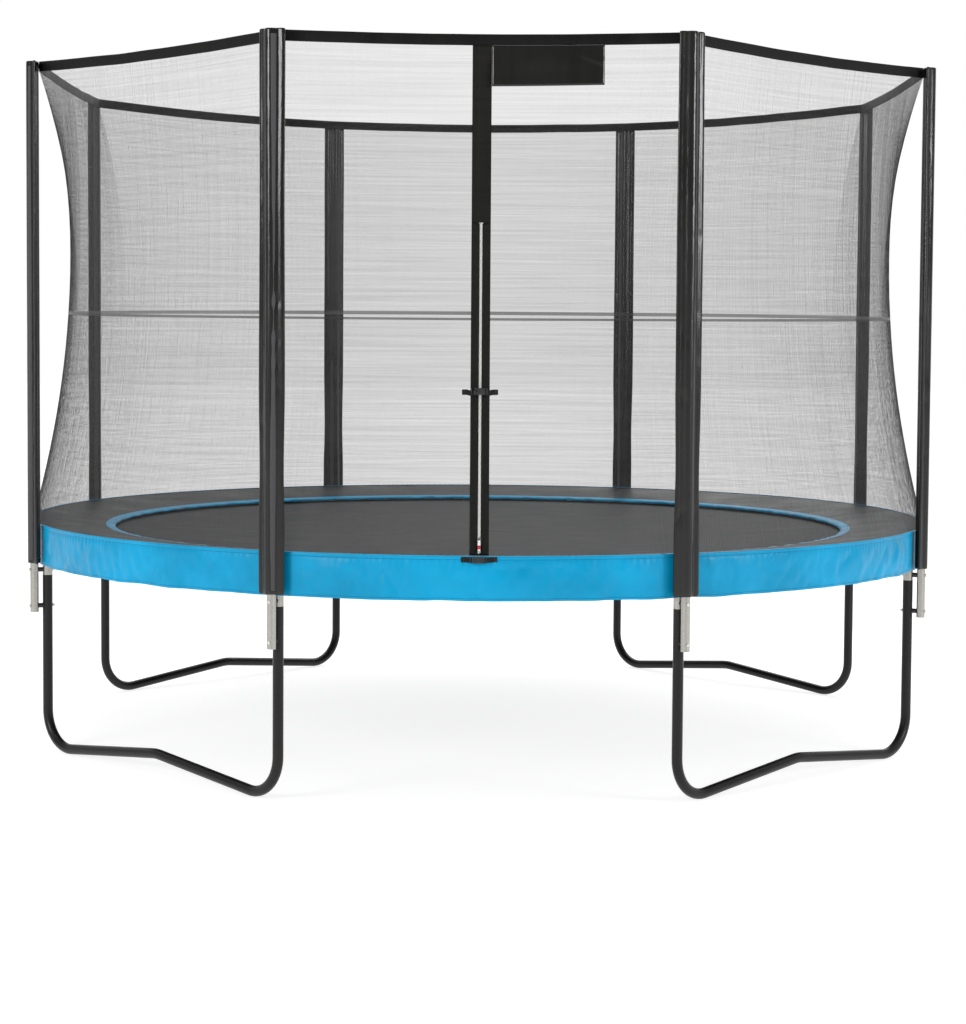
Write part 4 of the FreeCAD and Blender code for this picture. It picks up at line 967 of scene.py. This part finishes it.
def buckleFront(level):
    if level == "lower":
        return Matrix.Translation((0, -1.8535, 0.866))
    slope = (1.43 - doorArc[1]) / math.sqrt(doorArc[2] ** 2 - (1.43 - doorArc[1]) ** 2)
    turn = Matrix.Rotation(math.atan(-slope), 4, "X")
    outward = Vector((0, -1, slope)).normalized()
    return Matrix.Translation(Vector((0, -arcRadius(doorArc, 1.43), 1.43)) + outward * 0.024) @ turn


for level in ("upper", "lower"):
    front = buckleFront(level)
    makeBuckle(f"{level}_buckle_socket", f"{level}_socket_half", "frame", front, -0.0125)
    makeBuckle(f"{level}_buckle_tongue", f"{level}_tongue_half", f"{level}_tongue", front, 0.0145)

strap = {"width": 0.019, "thickness": 0.0016, "outer": 0.062, "foot": 0.018, "stitch": 0.0018}


# a strap from its sewn end on the cloth up to the buckle's bar, and round it
def makeStrap(name, level, side, end):
    if level == "lower":
        origin, outward, up, standOff = Vector((0, -1.8349, 0.866)), Vector((0, -1, 0)), Vector((0, 0, 1)), 0.0095
    else:
        slope = (1.43 - doorArc[1]) / math.sqrt(doorArc[2] ** 2 - (1.43 - doorArc[1]) ** 2)
        outward = Vector((0, -1, slope)).normalized()
        up = Vector((0, slope * -1, 1)).normalized()
        origin, standOff = Vector((0, -arcRadius(doorArc, 1.43), 1.43)) + outward * 0.0006, 0.0165
    flat = strap["outer"] - strap["foot"]
    line = [(strap["outer"], 0.0), (strap["outer"] - 0.006, 0.0), (flat + 0.004, 0.0002),
        (flat - 0.002, 0.0012),
            (end + 0.006, standOff + 0.0012), (end + 0.0005, standOff + 0.0034),
            (end - 0.0035, standOff + 0.0036),
            (end - 0.0048, standOff + 0.0015), (end - 0.003, standOff - 0.0012)]
    rows = len(line) - 1

    def strapPoint(v, u):
        x, depth = line[min(round(v * rows), rows)]
        return origin + Vector((side * x, 0, 0)) + outward * depth + up * ((u - 0.5) * strap["width"])

    band = clothGrid(name, rows, 4, strapPoint, strap["width"], 0.05, strapTape)
    subdivide(band)
    thicken(band, strap["thickness"], 1 if side > 0 else -1)
    bpy.ops.object.mode_set(mode="EDIT")
    bpy.ops.mesh.select_all(action="SELECT")
    bpy.ops.mesh.normals_make_consistent(inside=False)
    bpy.ops.object.mode_set(mode="OBJECT")
    return band


for level in ("upper", "lower"):
    tongueStrap = makeStrap(f"{level}_tongue_webbing", level, 1, 0.0255)
    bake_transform(tongueStrap)
    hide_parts(f"{level}_tongue_strap")
    socketStrap = makeStrap(f"{level}_socket_webbing", level, -1, 0.03)
    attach(socketStrap, "frame")
    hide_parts("socket_straps")
print("buckles and straps made")

# ---- mat, its sewn edge, V-rings and springs

mat = {"radius": 1.6, "foot": 0.82, "thickness": 0.002, "sway": 0.0006, "rings": 40, "around": 288}
edging = {"inner": 1.55, "foot": 0.8222, "thickness": 0.0026, "loopHalf": 0.02, "springs": 72}


def planarCut(piece):
    layer = piece.data.uv_layers[0].data
    for loop in piece.data.loops:
        co = piece.data.vertices[loop.vertex_index].co
        layer[loop.index].uv = (co.x, co.y)
    return piece


def matPoint(v, u):
    radius = mat["radius"] * (0.004 + 0.996 * v)
    point = place(360 * u, radius, 0)
    lift = mat["sway"] * waver(point.x * 0.9, point.y * 0.9, 1.0, 1.0) * (1 - v)
    return point + Vector((0, 0, mat["foot"] + mat["thickness"] + lift - 0.0003))


jumpMat = clothGrid("woven_mat", mat["rings"], mat["around"], matPoint, 1, 1, matCloth, wrap=True)
pick(jumpMat)
bpy.ops.object.mode_set(mode="EDIT")
bpy.ops.mesh.select_all(action="DESELECT")
bpy.ops.object.mode_set(mode="OBJECT")
for vertex in jumpMat.data.vertices:
    vertex.select = vertex.co.xy.length < 0.01
bpy.ops.object.mode_set(mode="EDIT")
bpy.ops.mesh.edge_face_add()
bpy.ops.mesh.select_all(action="SELECT")
bpy.ops.mesh.normals_make_consistent(inside=False)
bpy.ops.object.mode_set(mode="OBJECT")
planarCut(jumpMat)
thicken(jumpMat, 0.0014, 0)
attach(jumpMat, "mat")
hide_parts("jump_mat")

edgeTape = clothGrid(
    "mat_edge_tape", 5, 432,
    lambda v, u: place(360 * u, edging["inner"] + (mat["radius"] - edging["inner"]) * v,
                       edging["foot"] + 0.0004 * waver(u * 60, v * 2, 4.0, 1.0) + 0.0004),
    2 * math.pi * 1.575, 0.05, edgeWebbing, wrap=True)
thicken(edgeTape, edging["thickness"] - 0.0008, 1)


def makeLoop():
    # one folded tab over a V-ring's foot, at the door side
    section = [(1.578, 0.0046), (1.588, 0.0047), (1.598, 0.0052), (1.6035, 0.0042), (1.6047, 0.0008),
               (1.6035, -0.0026), (1.598, -0.0036), (1.588, -0.0033), (1.578, -0.003)]
    rows = len(section) - 1

    def loopPoint(v, u):
        radius, lift = section[round(v * rows)]
        return Vector(((u - 0.5) * 2 * edging["loopHalf"], -radius, 0.8212 + lift))

    return clothGrid("loop", rows, 2, loopPoint, 2 * edging["loopHalf"], 0.05, blackWebbing)


oneLoop = makeLoop()
loops = [copyTo(oneLoop, f"loop{i}", turnTo(360 / edging["springs"] * i)) for i in range(edging["springs"])]
remove(oneLoop)
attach(edgeTape, "mat")
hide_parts("mat_webbing")
ringLoops = joinPieces("mat_ring_loops", loops)
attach(ringLoops, "mat")
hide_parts("mat_webbing")

ring = {"wire": 0.002, "foot": 1.6022, "halfWidth": 0.02, "point": 1.6546, "pointHalf": 0.004, "height": 0.8212}


def makeVRing():
    half, top = ring["halfWidth"], ring["pointHalf"]
    low, high = -ring["foot"], -ring["point"]
    outline = [(-half + 0.006, low), (half - 0.006, low), (half, low), (half, low - 0.004),
        (top + 0.004, high + 0.01),
               (top, high), (0, high), (-top, high), (-top - 0.004, high + 0.01), (-half, low - 0.004),
               (-half, low)]
    return wire("ring", [(x, y, ring["height"]) for x, y in outline], ring["wire"], brightZinc, closed=True,
        sides=1,
                resolution=3)


oneRing = makeVRing()
rings = [copyTo(oneRing, f"ring{i}", turnTo(360 / edging["springs"] * i)) for i in range(edging["springs"])]
remove(oneRing)
vRings = joinPieces("mat_v_rings", rings)
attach(vRings, "mat")
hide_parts("v_rings")

spring = {"inner": 1.66, "outer": 1.768, "coil": 0.0093, "wire": 0.0016, "turns": 27, "height": 0.826,
    "steps": 10}


def makeSpring():
    deselect()
    bpy.ops.mesh.primitive_circle_add(vertices=5, radius=spring["wire"], location=(spring["coil"], 0, 0),
                                      rotation=(math.radians(90), 0, 0))
    coil = bpy.context.object
    coil.name = "coil"
    bpy.ops.object.transform_apply(location=True, rotation=True, scale=True)
    wind = coil.modifiers.new("wind", "SCREW")
    wind.axis = "Z"
    wind.angle = math.radians(360)
    wind.screw_offset = (spring["outer"] - spring["inner"]) / spring["turns"]
    wind.iterations = spring["turns"]
    wind.steps = spring["steps"]
    wind.render_steps = spring["steps"]
    applyAll(coil)
    bpy.ops.object.shade_smooth()
    # stand it along the ring's radius at the door, and close its ends
    coil.data.transform(Matrix.Translation((0, -spring["inner"], spring["height"]))
                        @ Matrix.Rotation(math.radians(90), 4, "X"))
    pick(coil)
    bpy.ops.object.mode_set(mode="EDIT")
    bpy.ops.mesh.select_all(action="SELECT")
    bpy.ops.mesh.remove_doubles(threshold=0.00001)
    bpy.ops.mesh.fill_holes(sides=8)
    bpy.ops.mesh.normals_make_consistent(inside=False)
    bpy.ops.object.mode_set(mode="OBJECT")
    coil.data.materials.append(springSteel)
    h, c, inner, outer = spring["height"], spring["coil"], spring["inner"], spring["outer"]
    toMat = wire("toMat", [(c, -inner, h), (c * 0.7, -inner + 0.002, h), (0, -inner + 0.004, h + 0.001),
                           (0, -inner + 0.008, h), (0, -inner + 0.0105, h - 0.004),
                           (0, -inner + 0.007, h - 0.0085),
                           (0, -inner + 0.003, h - 0.007)], spring["wire"], springSteel, sides=0, resolution=3)
    toRail = wire("toRail", [(c, -outer, h), (c * 0.7, -outer - 0.003, h), (0, -outer - 0.008, h + 0.003),
                             (0, -outer - 0.018, h + 0.004), (0, -outer - 0.0275, h + 0.0025),
                             (0, -outer - 0.029, h - 0.003),
                             (0, -outer - 0.0285, h - 0.009)], spring["wire"], springSteel, sides=0,
                             resolution=3)
    return joinPieces("spring", [coil, toMat, toRail])


oneSpring = makeSpring()
for i in range(edging["springs"]):
    azimuth = 360 / edging["springs"] * i
    one = copyTo(oneSpring, f"spring_{i + 1:02d}", turnTo(azimuth))
    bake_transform(one)
    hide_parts("springs")
remove(oneSpring)
print("mat and springs made")

# ---- pad over the springs, its blue inner border, and the blue skirt

pad = {
    "inner": 1.5355,
    "outer": 1.831,
    "innerTop": 0.8445,
    "outerTop": 0.8755,
    "crown": 0.0035,
    "puff": 0.0028,
    "panels": 8,
    "seamOffset": 11.0,
    "columns": 448,
}


def padFloor(radius):
    if radius < 1.66:
        return 0.8315 + (0.8405 - 0.8315) * (radius - 1.535) / 0.125
    if radius < 1.792:
        return 0.8405 + (0.8490 - 0.8405) * (radius - 1.66) / 0.132
    return 0.8490


def padSeam(azimuth):
    panel = 360 / pad["panels"]
    away = (azimuth - pad["seamOffset"] + panel / 2) % panel - panel / 2
    return abs(away) * math.radians(1) * 1.7


def padPoint(v, u):
    azimuth = 360 * u
    seam = padSeam(azimuth)
    across = v * 2 if v < 0.5 else 2 - v * 2
    share = 0.5 - 0.5 * math.cos(math.pi * across)
    radius = pad["inner"] + (pad["outer"] - pad["inner"]) * share
    radius += 0.0015 * waver(azimuth * 0.3, 0.5, 6.0, 1.0) * math.sin(math.pi * share)
    flat = pad["innerTop"] + (pad["outerTop"] - pad["innerTop"]) * share
    if v < 0.5:
        crown = pad["crown"] * math.sin(math.pi * share) ** 0.7
        crown += pad["puff"] * waver(azimuth * 0.22, radius * 9, 3.0, 1.0) * math.sin(math.pi * share)
        pucker = 0.0016 * math.sin(azimuth * 9 + 4 * waver(azimuth, 1.0, 1.0, 0.4)) * (
            ease(1 - share / 0.12) + ease((share - 0.88) / 0.12)) * min(1, 8 * math.sin(math.pi * share))
        dip = 0.006 * math.exp(-(seam / 0.011) ** 2) * math.sin(math.pi * share) ** 0.4
        near = 0.0016 * math.exp(-(seam / 0.05) ** 2) * math.sin(radius * 190 + azimuth) * math.sin(math.pi * share)
        return place(azimuth, radius, flat + crown + pucker - dip + near)
    floor = padFloor(radius)
    lift = (flat - floor) * (1 - min(1, 7 * math.sin(math.pi * share) ** 0.6))
    return place(azimuth, radius, floor + max(0, lift) * 0.6)


springPad = clothGrid("spring_cover_pad", 44, pad["columns"], padPoint, 2 * math.pi * 1.7, 0.62, padPvc,
    wrap=True,
                      close=True)
pick(springPad)
bpy.ops.object.mode_set(mode="EDIT")
bpy.ops.mesh.select_all(action="SELECT")
bpy.ops.mesh.normals_make_consistent(inside=False)
bpy.ops.object.mode_set(mode="OBJECT")
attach(springPad, "frame")
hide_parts("spring_pad")

border = {"inner": 1.4985, "outer": 1.5375, "kink": 0.008, "lift": 0.005, "thickness": 0.0028}


# the border is a folded strip: over the pad's inner edge, in to its rim, and back under
def borderPoint(v, u):
    azimuth = 360 * u
    kink = border["kink"] * (waver(azimuth * 0.42, 1.0, 2.0, 1.0) + 0.6 * waver(azimuth * 1.1, 3.0, 2.0, 1.0))
    rise = border["lift"] * (waver(azimuth * 0.5, 7.0, 1.0, 1.0) + 0.5 * waver(azimuth * 1.6, 5.0, 1.0, 1.0))
    over = v < 0.5
    share = 1 - v * 2 if over else v * 2 - 1
    radius = border["inner"] + (border["outer"] - border["inner"]) * share + kink * (1 - share)
    top = 0.8415 + 0.0045 * share
    under = 0.8295 + 0.0035 * share
    roundness = math.sqrt(max(0, 1 - (1 - min(1, share * 3.2)) ** 2))
    middle = (top + under) / 2
    height = middle + ((top - middle) if over else (under - middle)) * roundness
    return place(azimuth, radius, height + rise * (1 - share) * (1 if over else 0.5))


blueBorder = clothGrid("blue_inner_border", 20, 512, borderPoint, 2 * math.pi * 1.515, 0.09, blueTrim,
    wrap=True)
pick(blueBorder)
bpy.ops.object.mode_set(mode="EDIT")
bpy.ops.mesh.select_all(action="SELECT")
bpy.ops.mesh.normals_make_consistent(inside=False)
bpy.ops.object.mode_set(mode="OBJECT")
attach(blueBorder, "frame")
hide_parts("pad_border")

skirt = {
    "wall": 1.8338,
    "flange": 1.8275,
    "flangeShare": 0.05,
    "head": 0.8782,
    "foot": 0.7222,
    "gatherPitch": 0.024,
    "gather": 0.0044,
    "hang": 0.009,
    "seams": (0, 90, 180, 270),
    "seamRidge": (0.003, 0.004),
    "welt": (0.0012, 0.03, 0.03),
    "groove": (0.0018, 0.1, 0.018),
}


def skirtPoint(v, u):
    azimuth = 360 * u
    nearPole = ease((abs(abs(sideAngle(azimuth)) - 22.5) - 1.9) / 2.2)
    flangeShare = skirt["flangeShare"]
    if v > 1 - flangeShare:
        share = (v - 1 + flangeShare) / flangeShare
        radius = skirt["wall"] - (skirt["wall"] - skirt["flange"]) * share
        ruffle = 0.0010 * math.sin(azimuth * math.radians(1) * 1.83 / skirt["gatherPitch"] * 6.283
                                   + 5 * waver(azimuth * 0.2, 1, 1, 1.0)) * share * (1 - share) * 4
        return place(azimuth, radius, skirt["head"] + max(0, ruffle) - 0.0009 * share + 0.0003)
    share = v / (1 - flangeShare)
    drop = 1 - share
    phase = azimuth * math.radians(1) * 1.83 / skirt["gatherPitch"] * 6.283 + 7 * waver(azimuth * 0.16, 2, 1,
        1.0)
    strength = 0.35 + 0.65 * ease(0.5 + 1.4 * waver(azimuth * 0.08, 4, 4, 1.0))
    gather = skirt["gather"] * (0.5 + 0.5 * math.sin(phase)) * math.exp(-((drop - 0.14) / 0.12) ** 2) * strength
    fromSeam = min(abs((azimuth - line + 180) % 360 - 180) for line in skirt["seams"]) * math.radians(1) * 1.83
    ridge, ridgeWidth = skirt["seamRidge"]
    gather += ridge * math.exp(-(fromSeam / ridgeWidth) ** 2)
    welt, weltDrop, weltWidth = skirt["welt"]
    groove, grooveDrop, grooveWidth = skirt["groove"]
    gather += (welt * math.exp(-((drop - weltDrop) / weltWidth) ** 2)
               - groove * math.exp(-((drop - grooveDrop) / grooveWidth) ** 2))
    folds = waver(azimuth * 0.21, drop * 0.9, 6.0, 1.0) + 0.5 * waver(azimuth * 0.75, drop * 1.8, 2.0, 1.0)
    diagonal = waver(azimuth * 0.33 + drop * 1.6, 2.0, 9.0, 1.0)
    out = skirt["hang"] * (abs(folds) * 1.2 + 0.6 * abs(diagonal)) * ease(drop / 0.35)
    inward = 0.006 * ease((drop - 0.45) / 0.55) * (0.5 + 0.5 * waver(azimuth * 0.1, 5, 3, 1.0))
    radius = skirt["wall"] + (gather + out - inward) * nearPole + 0.0004
    height = skirt["foot"] + (skirt["head"] - skirt["foot"]) * share
    height -= 0.0012 * ease((drop - 0.97) / 0.03)
    height += 0.003 * waver(azimuth * 0.24, 8.0, 1.0,
        1.0) * ease((drop - 0.4) / 0.6) + 0.003 * ease((drop - 0.6) / 0.4)
    return place(azimuth, radius, height)


blueSkirt = clothGrid("blue_skirt", 36, 1440, skirtPoint, 2 * math.pi * 1.834, 0.181, bluePvc, wrap=True)
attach(blueSkirt, "frame")
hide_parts("pad_skirt")
print("pad, border and skirt made")

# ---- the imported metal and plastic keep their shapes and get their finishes

finishes = {
    "top_rail_": galvanised,
    "t_joints": galvanised,
    "net_poles_": galvanised,
    "leg_extension_": blackCoat,
    "leg_base_": blackCoat,
    "pole_caps": mouldedBlack,
    "pole_foams": darkFoam,
    "clamp_spacers": mouldedBlack,
    "clamp_bolts": brightZinc,
    "clamp_nuts": brightZinc,
    "joint_screws": brightZinc,
}
for name, node in nodes.items():
    if node.hide_render:
        continue
    for start, paint in finishes.items():
        if name.startswith(start):
            for slotIndex in range(len(node.material_slots)):
                node.material_slots[slotIndex].material = paint
print("finishes given")
